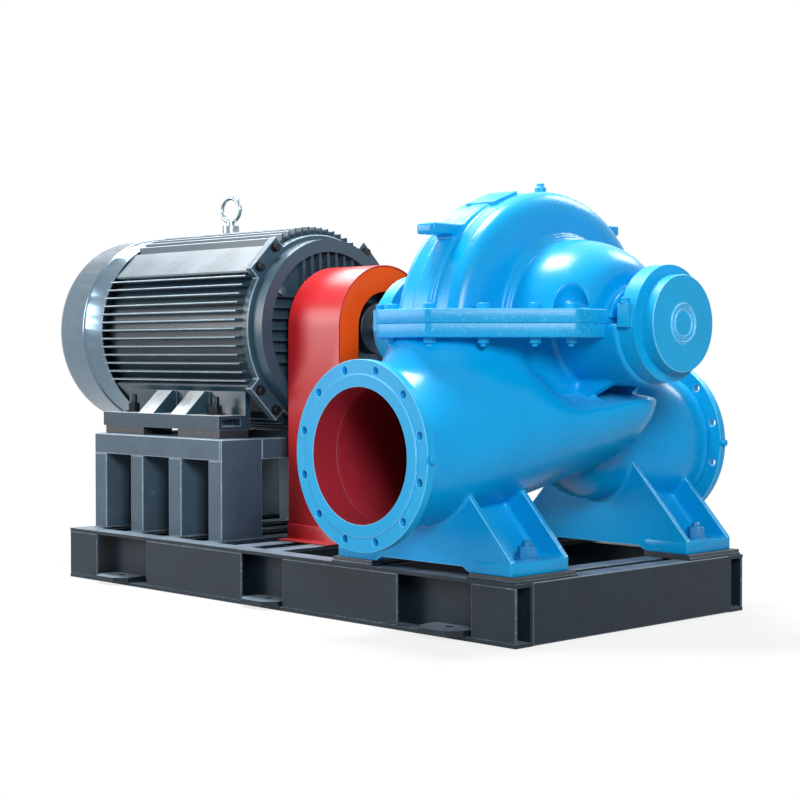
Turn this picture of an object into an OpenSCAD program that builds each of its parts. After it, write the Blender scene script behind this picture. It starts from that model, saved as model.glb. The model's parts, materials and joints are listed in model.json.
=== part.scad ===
// Horizontal split case pump set: pump, motor on a stool, coupling guard and welded base.
// X runs along the shaft towards the free end of the pump, -Y is the suction side, Z is up.
// The origin is the middle of the base on the ground.

/* [Base frame] */
// Length of the base along the shaft
base_length = 1980; // [1900:10:2100]
// Width of the base
base_width = 960; // [930:10:1000]
// Depth of the base channels
base_height = 160; // [140:5:200]
// Flange width of every channel
channel_flange = 65; // [60:1:70]
// Web thickness of every channel
channel_web = 9; // [6:0.5:12]
// Flange thickness of every channel
channel_flange_t = 10; // [7:0.5:13]
// Thickness of the plates that close the side rails
closing_plate = 8; // [5:0.5:12]
// Half length of the open window in the middle of each rail
middle_window_half = 93; // [70:1:120]
// Distance from the middle of the base to the near edge of an end window
end_window_from = 565; // [520:5:600]
// Length of an end window
end_window_length = 271; // [240:1:290]

/* [Foundation lugs] */
// Distance from the middle of the base to the end lugs
lug_spacing = 735; // [700:5:740]
// Length of a lug along the rail
lug_length = 155; // [130:1:165]
// How far a lug stands out beyond the rail
lug_overhang = 40; // [25:1:60]
// Chamfer on the outer corners of a lug
lug_chamfer = 35; // [20:1:38]
// Thickness of a lug
lug_thickness = 16; // [10:1:25]
// Diameter of an anchor hole
anchor_hole = 26; // [18:1:32]
// Distance of the anchor holes in from the side of the base
anchor_inset = 28; // [24:0.5:32]

/* [Pump stand] */
// Pump centre plane, measured from the middle of the base
pump_x = 643; // [620:1:645]
// Thickness of the machined pads under the pump feet
pad_thickness = 15; // [10:1:25]
// Length of a pad along the shaft
pad_length = 158; // [154:1:170]
// Pad centre, measured from the pump centre plane
pad_offset = 259; // [250:1:262]
// Height of the shaft above the pump feet
pump_centre_height = 635; // [600:5:680]

/* [Nozzles] */
// Depth of the nozzle axes below the shaft
nozzle_drop = 337; // [320:1:350]
// Outside diameter of the nozzle flanges
flange_od = 490; // [480:1:505]
// Thickness of the nozzle flanges
flange_thickness = 28; // [22:1:34]
// Diameter of the raised face
raised_face = 415; // [395:1:418]
// Height of the raised face
raised_height = 4; // [2:0.5:6]
// Bore of the nozzles
nozzle_bore = 350; // [320:1:360]
// Bolt circle of the nozzle flanges
bolt_circle = 445; // [442:1:450]
// Bolts in a nozzle flange
bolt_count = 12; // [8:4:16]
// Diameter of a flange bolt hole
bolt_hole = 22; // [16:1:23]
// Wall of the casing at the nozzles
casing_wall = 22; // [16:1:28]
// Distance of the suction face from the shaft
suction_reach = 689; // [660:1:720]
// Distance of the discharge face from the shaft
discharge_reach = 540; // [520:1:580]
// Length of the round neck behind a nozzle flange
neck_length = 55; // [40:1:70]

/* [Casing] */
// Half length of the lower casing over its suction lobes
belly_half = 350; // [335:1:362]
// Drop of the widest level of the lobes below the shaft
belly_drop = 200; // [195:1:215]
// Depth of the casing bottom below the shaft
belly_depth = 420; // [405:1:435]
// Distance of the widest place of the lobes from the shaft, towards discharge
belly_y = 45; // [30:1:60]
// Half length of the casing core between the bearing brackets
core_half = 200; // [190:1:210]
// Radius of the throat where the discharge leaves the casing
throat_radius = 114; // [104:1:124]
// Distance of the volute axis from the shaft, towards suction
volute_y = 60; // [40:1:70]
// Thickness of each half of the split flange
split_flange = 37; // [28:1:44]
// Half length of the split flange along the shaft
split_half = 366; // [360:1:376]
// Reach of the split flange on the suction side
split_front = 538; // [510:1:550]
// Reach of the split flange on the discharge side
split_rear = 430; // [400:1:450]
// Half width of the split flange at its two tips
split_tip_half = 94; // [80:1:110]
// Radius of the upper volute
volute_radius = 403; // [390:1:415]
// Height of the volute axis below the shaft
volute_drop = 40; // [20:1:60]
// Half width of the volute at its foot
volute_half = 132; // [110:1:150]
// Half width of the band round the volute rim
volute_rim_half = 88; // [75:1:95]
// Radius of the suction covers beside the volute
cover_radius = 245; // [230:1:255]
// Half length over the cylindrical part of the covers
cover_half = 165; // [150:1:180]
// Radius of the stuffing boxes
box_radius = 142; // [125:1:150]
// How far a stuffing box stands out from the split flange
box_proud = 10; // [4:1:18]

/* [Bearings and shaft] */
// Free space between a gland and its bearing housing
gland_space = 16; // [10:1:25]
// Radius of a gland
gland_radius = 82; // [70:1:95]
// Thickness of a gland
gland_plate = 14; // [10:1:20]
// How much farther out the drive end's bearing stands than the free end's
drive_reach = 55; // [45:1:65]
// Length of a bearing housing ring
housing_length = 48; // [40:1:55]
// Radius of a bearing housing
housing_radius = 154; // [140:1:165]
// Radius of a bearing cover
cover_plate_radius = 127; // [110:1:135]
// Thickness of a bearing cover
cover_plate = 41; // [32:1:48]
// Diameter of the pump shaft
shaft_d = 70; // [55:1:85]
// Running clearance round the shafts
shaft_gap = 1; // [0.5:0.1:2]

/* [Motor] */
// Height of the motor shaft above its feet
motor_centre_height = 315; // [300:1:340]
// Drive end of the finned frame
motor_front_x = -314; // [-330:1:-305]
// Length of the finned frame
motor_frame_length = 723; // [690:1:750]
// Radius under the fins
motor_core_radius = 290; // [280:1:295]
// Radius over the fins
motor_fin_radius = 328; // [320:1:335]
// Thickness of a fin
fin_thickness = 8; // [5:0.5:10]
// Distance between fins
fin_pitch = 27; // [24:0.5:30]
// Fins in each of the four banks
fin_count = 13; // [9:2:13]
// Length of the fan cover
fan_cover_length = 282; // [250:1:300]
// Sheet thickness of the fan cover
fan_cover_sheet = 4; // [2:0.5:6]
// Radius of the fan cover
fan_cover_radius = 320; // [310:1:326]
// Length of a motor foot
motor_foot_length = 621; // [600:1:640]
// Height of a motor foot bar
motor_foot_height = 45; // [35:1:55]
// Distance from the motor axis to the outer edge of a foot
motor_foot_reach = 350; // [335:1:370]
// Diameter of the motor shaft
motor_shaft_d = 85; // [65:1:95]

/* [Stool] */
// Motor end of the stool, measured from the middle of the base
stool_x = -975; // [-985:1:-960]
// Half width of the stool
stool_half = 392; // [385:1:400]
// Posts on each side
post_count = 4; // [3:1:5]
// Distance between posts
post_pitch = 204; // [190:1:210]
// Depth of a post across the base
post_depth = 160; // [140:1:165]
// Thickness of the shims under the motor feet
shim_thickness = 25; // [10:1:35]

/* [Coupling and guard] */
// Motor end of the guard
guard_x = -219; // [-225:1:-212]
// Length of the guard along the shaft
guard_length = 235; // [220:1:240]
// Radius of the guard arch
guard_radius = 193; // [180:1:210]
// Sheet thickness of the guard
guard_sheet = 5; // [3:0.5:8]
// Half width of the opening in a guard end
guard_opening = 112; // [100:1:125]
// Radius of a coupling half
coupling_radius = 125; // [100:1:140]
// Radius of a coupling hub
hub_radius = 78; // [70:1:90]
// Length of a coupling half
coupling_length = 86; // [70:1:90]
// Gap between the coupling halves
coupling_gap = 6; // [3:0.5:10]

/* [Hidden] */
$fn = 96;
eps = 0.01;
big = 4000;

half_length = base_length / 2;
half_width = base_width / 2;
rail_inner = half_width - channel_flange;
base_top = base_height;
foot_z = base_top + pad_thickness;
shaft_z = foot_z + pump_centre_height;
nozzle_z = shaft_z - nozzle_drop;

stool_base = base_top;
motor_foot_z = shaft_z - motor_centre_height;
stool_top = motor_foot_z - shim_thickness;
stool_end = stool_x + (post_count - 1) * post_pitch + channel_flange;
motor_rear_x = motor_front_x - motor_frame_length;

foot_front = 470;
foot_rear = 251;
pad_front = foot_front + 5;
pad_rear = foot_rear - 11;
foot_length = pad_length - 8;
foot_slab = 33;
leg_plate = 17;
neck_gap = 4;

neck_r = nozzle_bore / 2 + casing_wall;
suction_neck = suction_reach - flange_thickness - neck_length;
discharge_neck = discharge_reach - flange_thickness - neck_length;
split_z = shaft_z;

box_half = split_half + box_proud;
housing_half = box_half + gland_plate + gland_space;
housing_end = housing_half + housing_length;
coupling_middle = guard_x + guard_length / 2;

// Shared shapes

// Channel section in the XY plane: web along Y at x = 0, flanges towards +X
module channel_section(depth) {
  square([channel_web, depth]);
  square([channel_flange, channel_flange_t]);
  translate([0, depth - channel_flange_t])
    square([channel_flange, channel_flange_t]);
}

// Cylinder along +X that starts at x
module shaft_cylinder(x, length, r) {
  translate([x, 0, shaft_z])
    rotate([0, 90, 0])
      cylinder(h = length, r = r);
}

// The children and their mirror image across the pump centre plane
module both_ends() {
  for (m = [0, 1])
    translate([pump_x, 0, 0])
      mirror([m, 0, 0])
        translate([-pump_x, 0, 0])
          children();
}

// The children and their mirror image across the shaft plane
module both_sides() {
  for (m = [0, 1])
    mirror([0, m, 0])
      children();
}

// Base frame

module side_rail() {
  difference() {
    translate([-half_length, -rail_inner, 0])
      rotate([90, 0, 90])
        mirror([1, 0, 0])
          linear_extrude(base_length)
            channel_section(base_height);
    anchor_holes();
  }
}

lug_places = [-lug_spacing, 0, lug_spacing];

module anchor_holes() {
  for (x = lug_places)
    translate([x, anchor_inset - half_width, -eps])
      cylinder(h = base_height / 2, d = anchor_hole);
}

module base_side_rail_front() {
  color("#23282d") side_rail();
}

module base_side_rail_rear() {
  color("#23282d") mirror([0, 1, 0]) side_rail();
}

// Channel beam across the base between the rails, web at x and flanges towards the given side
module cross_channel(x, side, half, bottom, depth) {
  translate([x, half, bottom])
    rotate([90, 0, 0])
      linear_extrude(2 * half)
        mirror([side < 0 ? 1 : 0, 0])
          channel_section(depth);
}

module base_end_beam_pump() {
  color("#23282d") cross_channel(half_length, -1, rail_inner, 0, base_height);
}

module base_end_beam_motor() {
  color("#23282d") cross_channel(-half_length, 1, rail_inner, 0, base_height);
}

// Farthest place of a cross beam that clears the flanges of the end beam
beam_clearance = 15;
last_beam = half_length - 2 * channel_flange - beam_clearance;

post_places = [for (i = [0 : post_count - 1]) stool_x + i * post_pitch];
beam_places = concat(
  [for (i = [1 : post_count - 1]) post_places[i]],
  [guard_x + 15, guard_x + guard_length - 15 - channel_flange],
  [pump_x - pad_offset - channel_flange / 2, min(pump_x + pad_offset - pad_length / 2, last_beam)]
);

module base_cross_beams() {
  color("#1e2226")
    for (x = beam_places)
      cross_channel(x, 1, rail_inner, 0, base_height);
}

// Each end window stays clear of the lug that stands in it
lug_clearance = 10;
end_window_start = min(end_window_from, lug_spacing - lug_length / 2 - lug_clearance);
end_window_to = max(end_window_from + end_window_length, lug_spacing + lug_length / 2 + lug_clearance);

module closing_plate_between(from, to) {
  translate([from, -half_width, channel_flange_t])
    cube([to - from, closing_plate, base_height - 2 * channel_flange_t]);
}

module closing_plates() {
  for (m = [0, 1])
    mirror([m, 0, 0]) {
      closing_plate_between(middle_window_half, end_window_start);
      closing_plate_between(end_window_to, half_length);
    }
}

module base_closing_plates_front() {
  color("#23282d") closing_plates();
}

module base_closing_plates_rear() {
  color("#23282d") mirror([0, 1, 0]) closing_plates();
}

lug_depth = channel_flange - channel_web + lug_overhang;

module lug_outline() {
  half = lug_length / 2;
  polygon([
    [lug_chamfer - half, 0], [half - lug_chamfer, 0], [half, lug_chamfer],
    [half, lug_depth], [-half, lug_depth], [-half, lug_chamfer]
  ]);
}

module foundation_lugs() {
  difference() {
    for (x = lug_places)
      translate([x, -half_width - lug_overhang, channel_flange_t])
        linear_extrude(lug_thickness)
          lug_outline();
    anchor_holes();
  }
}

module foundation_lugs_front() {
  color("#1e2226") foundation_lugs();
}

module foundation_lugs_rear() {
  color("#1e2226") mirror([0, 1, 0]) foundation_lugs();
}

module pump_pads() {
  color("#2b3036")
    both_sides()
      both_ends()
        translate([pump_x + pad_offset - pad_length / 2, -pad_front, base_top])
          cube([pad_length, pad_front - pad_rear, pad_thickness]);
}

// Motor stool

beam_depth = post_depth;
beam_drop = channel_flange;

module stool_top_beam() {
  translate([stool_x, -stool_half, stool_top])
    rotate([90, 0, 90])
      linear_extrude(stool_end - channel_web - stool_x)
        rotate(-90)
          channel_section(beam_depth);
}

module stool_top_beam_front() {
  color("#3c4650") stool_top_beam();
}

module stool_top_beam_rear() {
  color("#3c4650") mirror([0, 1, 0]) stool_top_beam();
}

// Upright channels with one flange facing out; the web of the last one closes the beam end
module stool_posts() {
  for (x = post_places)
    translate([x + channel_flange, -stool_half, stool_base])
      linear_extrude(stool_top - beam_drop - stool_base)
        mirror([1, 0])
          channel_section(post_depth);
  translate([stool_end - channel_web, -stool_half, stool_top - beam_drop])
    cube([channel_web, post_depth, beam_drop]);
}

module stool_posts_front() {
  color("#3c4650") stool_posts();
}

module stool_posts_rear() {
  color("#3c4650") mirror([0, 1, 0]) stool_posts();
}

stool_inner = stool_half - beam_depth;

module stool_cross_beams() {
  color("#3c4650") {
    cross_channel(stool_x, 1, stool_inner, stool_top - beam_drop, beam_drop);
    cross_channel(stool_end, -1, stool_inner, stool_top - beam_drop, beam_drop);
  }
}

motor_foot_x = motor_front_x - (motor_frame_length + motor_foot_length) / 2;
motor_foot_inner = 225;
shim_length = 215;

module motor_shims() {
  color("#4a5158")
    both_sides()
      for (x = [motor_foot_x + 8, motor_foot_x + motor_foot_length - shim_length])
        translate([x, -motor_foot_reach + 4, stool_top])
          cube([shim_length, motor_foot_reach - 4 - stool_inner, shim_thickness]);
}

// Motor

fin_last = (fin_count - 1) / 2;
land_half = 60;
land_radius = motor_core_radius + 22;

// Bank of parallel fins on one side of the frame, clipped to the fin circle
module fin_bank() {
  for (i = [-fin_last : fin_last])
    translate([0, i * fin_pitch - fin_thickness / 2])
      square([sqrt(pow(motor_fin_radius, 2) - pow(i * fin_pitch, 2)), fin_thickness]);
}

module motor_section() {
  circle(r = motor_core_radius);
  for (a = [0 : 90 : 270])
    rotate(a)
      fin_bank();
  for (a = [45 : 90 : 315])
    rotate(a)
      translate([0, -land_half])
        square([land_radius, 2 * land_half]);
}

module motor_frame() {
  color("#3a434b")
    translate([motor_rear_x, 0, shaft_z])
      rotate([90, 0, 90])
        linear_extrude(motor_frame_length)
          motor_section();
}

foot_web = 20;
foot_rib_width = 80;
foot_rib_top = 118;
foot_hole = 28;
foot_hole_inset = 60;

// Level of the lower frame land at a distance y from the motor axis
function land_level(y) = shaft_z - land_radius * sqrt(2) + y;

module foot_profile() {
  bar_top = motor_foot_z + motor_foot_height;
  web_y = motor_foot_inner + foot_web;
  translate([motor_foot_inner, motor_foot_z])
    square([motor_foot_reach - motor_foot_inner, motor_foot_height]);
  polygon([
    [motor_foot_inner, bar_top - 1], [web_y, bar_top - 1],
    [web_y, land_level(web_y)], [motor_foot_inner, land_level(motor_foot_inner)]
  ]);
}

module foot_rib_profile() {
  bar_top = motor_foot_z + motor_foot_height;
  web_y = motor_foot_inner + foot_web;
  rib_top = motor_foot_z + foot_rib_top;
  polygon([
    [web_y - 1, bar_top - 1], [motor_foot_reach - 10, bar_top - 1],
    [web_y + 17, rib_top], [web_y - 1, rib_top - 1]
  ]);
}

module motor_foot() {
  difference() {
    union() {
      translate([motor_foot_x, 0, 0])
        rotate([90, 0, 90])
          linear_extrude(motor_foot_length)
            foot_profile();
      for (s = [0.36, 0.64])
        translate([motor_foot_x + s * motor_foot_length - foot_rib_width / 2, 0, 0])
          rotate([90, 0, 90])
            linear_extrude(foot_rib_width)
              foot_rib_profile();
    }
    for (x = [motor_foot_x, motor_foot_x + motor_foot_length])
      translate([x - 40, motor_foot_inner + 38, motor_foot_z + 12])
        cube([80, motor_foot_reach - motor_foot_inner - 52, motor_foot_height - 22]);
    for (x = [motor_foot_x + 90, motor_foot_x + motor_foot_length - 90])
      translate([x, motor_foot_reach - foot_hole_inset, motor_foot_z - eps])
        cylinder(h = motor_foot_height + 1, d = foot_hole);
  }
}

module motor_feet() {
  color("#343c44")
    both_sides()
      motor_foot();
}

ring_length = 29;
ring_bore = motor_core_radius - 40;
ring_rim = motor_fin_radius - 28;
ring_pad_half = land_half + 12;
ring_pad_reach = motor_fin_radius + 6;

// End ring of the frame with a bolt pad at each corner
module motor_drive_end_ring() {
  color("#3a434b")
    translate([motor_front_x, 0, shaft_z])
      rotate([90, 0, 90])
        linear_extrude(ring_length)
          difference() {
            union() {
              circle(r = ring_rim);
              for (a = [45 : 90 : 315])
                rotate(a)
                  translate([ring_bore, -ring_pad_half])
                    square([ring_pad_reach - ring_bore, 2 * ring_pad_half]);
            }
            circle(r = ring_bore);
          }
}

shield_length = 50;
shield_hub = 120;
shield_rim = 40;
shield_floor = 12;
shield_rib = 9;
shield_rib_pitch = 34;
shield_rib_drop = 14;
shield_boss = 24;
shield_x = motor_front_x + ring_length;
shield_radius = motor_core_radius - 6;

// Parallel ribs that fill the top, bottom and sides of the shield between hub and rim
module shield_ribs() {
  reach = shield_radius - shield_rim + 1;
  for (a = [0 : 90 : 270])
    for (i = [-3 : 3])
      translate([shield_x, 0, shaft_z])
        rotate([a, 0, 0])
          translate([0, i * shield_rib_pitch - shield_rib / 2, shield_hub - shield_rim])
            cube([shield_length - shield_rib_drop, shield_rib,
              sqrt(pow(reach, 2) - pow(abs(i) * shield_rib_pitch, 2)) - shield_hub + shield_rim]);
}

// Drum with a raised rim, a hub for the shaft and a small boss at the upper front of the rim
module motor_drive_end_shield() {
  color("#343c44")
    difference() {
      union() {
        shaft_cylinder(motor_front_x, ring_length, ring_bore);
        difference() {
          shaft_cylinder(shield_x, shield_length, shield_radius);
          shaft_cylinder(shield_x + shield_floor, shield_length, shield_radius - shield_rim);
        }
        shaft_cylinder(shield_x, shield_length, shield_hub);
        shield_ribs();
        translate([shield_x, 0, shaft_z])
          rotate([60, 0, 0])
            translate([0, -shield_boss / 2, shield_radius - shield_rim - shield_boss + 1])
              cube([shield_length, shield_boss, shield_boss]);
      }
      shaft_cylinder(motor_front_x - 1, shield_length + ring_length + 2, motor_shaft_d / 2 + shaft_gap);
    }
}

rear_shield_length = 30;

module motor_rear_shield() {
  color("#2b3238")
    shaft_cylinder(motor_rear_x - rear_shield_length, rear_shield_length, ring_bore);
}

cover_corner = 45;
cover_bead = 5;
cover_bead_half = 9;
cover_bead_from_front = 109;
grille_slots = 24;
grille_slot_width = 14;
grille_inner = 70;
grille_outer = 240;

// Wall line of the cover from its rim to the back, x measured back from the frame, y the radius
function cover_line(r, length, corner) = concat(
  [[0, r]],
  [for (a = [0 : 30 : 180])
    [cover_bead_from_front - cover_bead_half * cos(a), r + cover_bead * sin(a)]],
  [for (a = [0 : 15 : 90])
    [length - corner + corner * sin(a), r - corner + corner * cos(a)]]
);

// Outer line, then the inner line back to the rim
module fan_cover_profile() {
  inner = cover_line(fan_cover_radius - fan_cover_sheet, fan_cover_length - fan_cover_sheet,
    cover_corner - fan_cover_sheet);
  polygon(concat(
    cover_line(fan_cover_radius, fan_cover_length, cover_corner),
    [for (i = [len(inner) - 1 : -1 : 0]) inner[i]]
  ));
}

module motor_fan_cover() {
  color("#c9cdd1")
    translate([motor_rear_x, 0, shaft_z])
      rotate([0, -90, 0])
        rotate_extrude()
          mirror([1, -1, 0])
            fan_cover_profile();
}

// Back of the cover with its air slots
module motor_fan_grille() {
  color("#c9cdd1")
    translate([motor_rear_x - fan_cover_length, 0, shaft_z])
      rotate([90, 0, 90])
        linear_extrude(fan_cover_sheet)
          difference() {
            circle(r = fan_cover_radius - cover_corner);
            for (i = [0 : grille_slots - 1])
              rotate(i * 360 / grille_slots)
                translate([grille_inner, -grille_slot_width / 2])
                  square([grille_outer - grille_inner, grille_slot_width]);
          }
}

eye_x = -745;
eye_ring = 40;
eye_wire = 8;
eye_neck = 13;
eye_collar = 28;
eye_base = shaft_z + motor_fin_radius;
eye_collar_height = 24;
eye_neck_height = 16;
eye_turn = 10;

module motor_eye_bolt() {
  color("#c4c8cc") {
    translate([eye_x, 0, eye_base])
      cylinder(h = eye_collar_height, r = eye_collar);
    translate([eye_x, 0, eye_base + eye_collar_height - 1])
      cylinder(h = eye_neck_height, r = eye_neck);
    translate([eye_x, 0, eye_base + eye_collar_height + eye_neck_height + eye_ring - 1])
      rotate([90, 0, eye_turn])
        rotate_extrude()
          translate([eye_ring, 0])
            circle(r = eye_wire);
  }
}

coupling_motor_x = coupling_middle - coupling_gap / 2 - coupling_length;
coupling_pump_x = coupling_middle + coupling_gap / 2;

module motor_shaft() {
  color("#b8bcc0")
    shaft_cylinder(motor_front_x, coupling_motor_x + coupling_length - motor_front_x, motor_shaft_d / 2);
}

// Coupling and guard

flange_part = 0.42;

module coupling_half(x, face, bore) {
  flange_length = flange_part * coupling_length;
  difference() {
    union() {
      shaft_cylinder(x, coupling_length, hub_radius);
      shaft_cylinder(face > 0 ? x + coupling_length - flange_length : x, flange_length, coupling_radius);
    }
    shaft_cylinder(x - 1, coupling_length + 2, bore);
  }
}

module coupling_motor_half() {
  color("#5a6066") coupling_half(coupling_motor_x, 1, motor_shaft_d / 2);
}

module coupling_pump_half() {
  color("#5a6066") coupling_half(coupling_pump_x, -1, shaft_d / 2);
}

module arch_section(r, bottom) {
  circle(r = r);
  translate([-r, bottom - shaft_z])
    square([2 * r, shaft_z - bottom]);
}

guard_foot = 45;
guard_foot_height = 48;

module coupling_guard_shell() {
  color("#c2242a") {
    translate([guard_x, 0, shaft_z])
      rotate([90, 0, 90])
        linear_extrude(guard_length)
          difference() {
            arch_section(guard_radius, base_top);
            arch_section(guard_radius - guard_sheet, base_top - 1);
          }
    both_sides()
      translate([guard_x, -guard_radius - guard_sheet, base_top]) {
        cube([guard_length, guard_sheet, guard_foot_height]);
        translate([0, guard_sheet - guard_foot, 0])
          cube([guard_length, guard_foot, guard_sheet]);
      }
  }
}

guard_opening_drop = 170;
guard_opening_bottom = shaft_z - guard_opening_drop;

module coupling_guard_ends() {
  color("#d8371c")
    for (x = [guard_x + 2, guard_x + guard_length - guard_sheet - 2])
      translate([x, 0, shaft_z])
        rotate([90, 0, 90])
          linear_extrude(guard_sheet)
            difference() {
              arch_section(guard_radius - guard_sheet, base_top);
              arch_section(guard_opening, guard_opening_bottom);
            }
}

// Pump casing

section_points = 36;
lobe_power = 1.75;
lobe_rise = 20;
lobe_close = 170;
lobe_close_steps = 5;
shoulder_top = 40;
shoulder_from = 0.45;
shoulder_to = 0.72;
core_start = 0.7;
core_inset = 6;
core_top_drop = 25;
core_power = 3.2;
core_radius = 350;
core_end_turns = [72, 80];
core_taper = 0.3;
crown = 90;
crown_rise = 2.2;
body_steps = 12;
body_crowding = 1.3;
body_edge = 12;
blend = 8;
throat_y = 200;
throat_drop = 43;
throat_steps = 6;
throat_lift = 75;
throat_shrink = 0.85;
throat_tail_steps = 3;

function mix(a, b, t) = a + (b - a) * t;
function ease(t) = t * t * (3 - 2 * t);
function signed_power(v, p) = sign(v) * pow(abs(v), p);

lobe_z = shaft_z - belly_drop;
throat_z = nozzle_z - throat_drop;
volute_z = split_z - volute_drop;

// A station holds half width, top, bottom, widest level and the powers above and below that level

// Top of the suction passage: up to the shoulder under the split flange, then down to the lobes
function lobe_top(t) = t < shoulder_from
  ? mix(nozzle_z + neck_r, shaft_z - shoulder_top, sin(90 * t / shoulder_from))
  : mix(shaft_z - shoulder_top, lobe_z + lobe_rise,
      ease(min(1, (t - shoulder_from) / (shoulder_to - shoulder_from))));

// Suction passage from its neck (t = 0) to the widest place of the lobes (t = 1)
function lobe_station(t) = [
  mix(neck_r, belly_half, pow(t, 1.15)),
  lobe_top(t),
  mix(nozzle_z - neck_r, shaft_z - belly_depth, pow(t, 1.6)),
  mix(nozzle_z, lobe_z, t), 2, mix(2, lobe_power, t)
];

// Rounded end of the lobes, which shrink to nothing as f goes from 1 to 0
function lobe_end_station(f) = [
  belly_half * f, lobe_z + lobe_rise * f, lobe_z - (belly_depth - belly_drop) * f, lobe_z, 2, lobe_power
];

// Upright core that carries the split flange: from inside the neck up to the volute
function core_station(t) = [
  mix(core_start * neck_r, core_half, sin(90 * t)),
  mix(nozzle_z + neck_r - core_top_drop, shaft_z + crown, sin(90 * min(1, crown_rise * t))),
  mix(nozzle_z - core_start * neck_r, volute_z - core_radius, ease(t)),
  mix(nozzle_z, lobe_z, ease(t)), mix(2, core_power, ease(t)), mix(2, core_power, ease(t))
];

// Round back of the core about the volute axis
function core_back_station(a) = [
  core_half * (1 - core_taper * (1 - cos(a))),
  shaft_z + crown,
  volute_z - core_radius * cos(a),
  mix(lobe_z, shaft_z, 1 - cos(a)), core_power, core_power
];

function lobe_at(y) = y < belly_y
  ? lobe_station((y + suction_neck) / (belly_y + suction_neck))
  : lobe_end_station(sqrt(max(0, 1 - pow((y - belly_y) / lobe_close, 2))));

function core_at(y) = y < -volute_y
  ? core_station(max(0, (y + suction_neck - core_inset) / (suction_neck - core_inset - volute_y)))
  : core_back_station(asin((y + volute_y) / core_radius));

// Half width of a section at the level z
function section_half(z, s) = z >= s[1] || z <= s[2] ? 0 :
  let (p = z > s[3] ? s[4] : s[5],
    u = z > s[3] ? (z - s[3]) / (s[1] - s[3]) : (s[3] - z) / (s[3] - s[2]))
    s[0] * pow(1 - pow(u, p), 1 / p);

// The larger of two half widths, with a soft change from one to the other
function soft_max(a, b) = pow(pow(a, blend) + pow(b, blend), 1 / blend);

// Closed section of the casing body at y: lobes and core in one line, flat under the split flange
function body_ring(y) = let (
  lobe = lobe_at(y), core = core_at(y), n = section_points / 2,
  low = min(lobe[2], core[2]), high = min(max(lobe[1], core[1]), split_z - split_flange / 2),
  right = [for (i = [0 : n - 1])
    let (z = mix(low, high, (1 - cos(180 * i / (n - 1))) / 2))
      [max(body_edge, soft_max(section_half(z, lobe), section_half(z, core))), z]]
) concat(
  [for (i = [0 : n - 1]) [pump_x + right[i][0], y, right[i][1]]],
  [for (i = [n - 1 : -1 : 0]) [pump_x - right[i][0], y, right[i][1]]]
);

// Round pipe of radius r about the level z
function pipe_station(r, z) = [r, z + r, z - r, z, 2, 2];

// Discharge cone from its neck (t = 0) to the throat (t = 1)
function throat_station(t) =
  pipe_station(mix(neck_r, throat_radius, ease(t)), mix(nozzle_z, throat_z, ease(t)));

// Rest of the throat, which rises into the core
function tail_station(t) =
  pipe_station(throat_radius * mix(1, throat_shrink, t), throat_z + throat_lift * ease(t));

// Closed section at y: a superellipse with its own upper and lower half, drawn in by the wall
function casing_ring(y, s, wall) = [
  for (i = [0 : section_points - 1])
    let (a = 360 * i / section_points, p = sin(a) > 0 ? s[4] : s[5],
      w = signed_power(cos(a), 2 / p), h = signed_power(sin(a), 2 / p))
      [pump_x + (s[0] - wall) * w, y,
        s[3] + h * (h > 0 ? s[1] - wall - s[3] : s[3] - s[2] - wall)]
];

// Solid through a list of rings with flat ends
module loft(rings) {
  n = section_points;
  last = len(rings) - 1;
  polyhedron(
    points = [for (r = rings) each r],
    faces = concat(
      [[for (i = [n - 1 : -1 : 0]) i]],
      [for (k = [0 : last - 1]) for (i = [0 : n - 1])
        [k * n + i, k * n + (i + 1) % n, (k + 1) * n + (i + 1) % n, (k + 1) * n + i]],
      [[for (i = [0 : n - 1]) last * n + i]]
    )
  );
}

function lobe_place(t) = mix(-suction_neck, belly_y, t);
function throat_place(t) = mix(discharge_neck, throat_y, t);
function tail_place(t) = mix(throat_y, -volute_y, t);

// Places of the body sections, closer together near the suction neck
body_places = concat(
  [for (k = [0 : body_steps]) lobe_place(pow(k / body_steps, body_crowding))],
  [for (k = [1 : lobe_close_steps]) belly_y + lobe_close * sin(90 * k / lobe_close_steps)],
  [for (a = core_end_turns) core_radius * sin(a) - volute_y]
);

module suction_body() {
  loft([for (y = body_places) body_ring(y)]);
}

module discharge_cone() {
  loft(concat(
    [for (k = [throat_tail_steps : -1 : 1]) let (t = k / throat_tail_steps)
      casing_ring(tail_place(t), tail_station(t), 0)],
    [for (k = [throat_steps : -1 : 0]) let (t = k / throat_steps)
      casing_ring(throat_place(t), throat_station(t), 0)]
  ));
}

module casing_body() {
  suction_body();
  discharge_cone();
}

suction_depth = 0.5;
discharge_depth = 0.95;
cavity_steps = 4;

// Hollow behind each nozzle, one wall inside the casing surface
module suction_hollow() {
  loft(concat(
    [casing_ring(-suction_neck - 5, lobe_station(0), casing_wall)],
    [for (k = [0 : cavity_steps]) let (t = suction_depth * k / cavity_steps)
      casing_ring(lobe_place(t), lobe_station(t), casing_wall)]
  ));
}

module discharge_hollow() {
  loft(concat(
    [for (k = [cavity_steps : -1 : 0]) let (t = discharge_depth * k / cavity_steps)
      casing_ring(throat_place(t), throat_station(t), casing_wall)],
    [casing_ring(discharge_neck + 5, throat_station(0), casing_wall)]
  ));
}

split_front_corner = split_front - (split_half - split_tip_half);
split_rear_corner = split_rear - (split_half - split_tip_half);

module split_outline() {
  translate([pump_x, 0])
    polygon([
      [split_tip_half, -split_front], [split_half, -split_front_corner],
      [split_half, split_rear_corner], [split_tip_half, split_rear],
      [-split_tip_half, split_rear], [-split_half, split_rear_corner],
      [-split_half, -split_front_corner], [-split_tip_half, -split_front]
    ]);
}

leg_top = nozzle_z - 25;
leg_slope_from = 37;
leg_slope = 0.92;
leg_arch = 16;
leg_reach = pad_offset + pad_length / 2 - 16;
leg_recess = 95;
leg_web = 25;
foot_round = 6;

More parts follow.
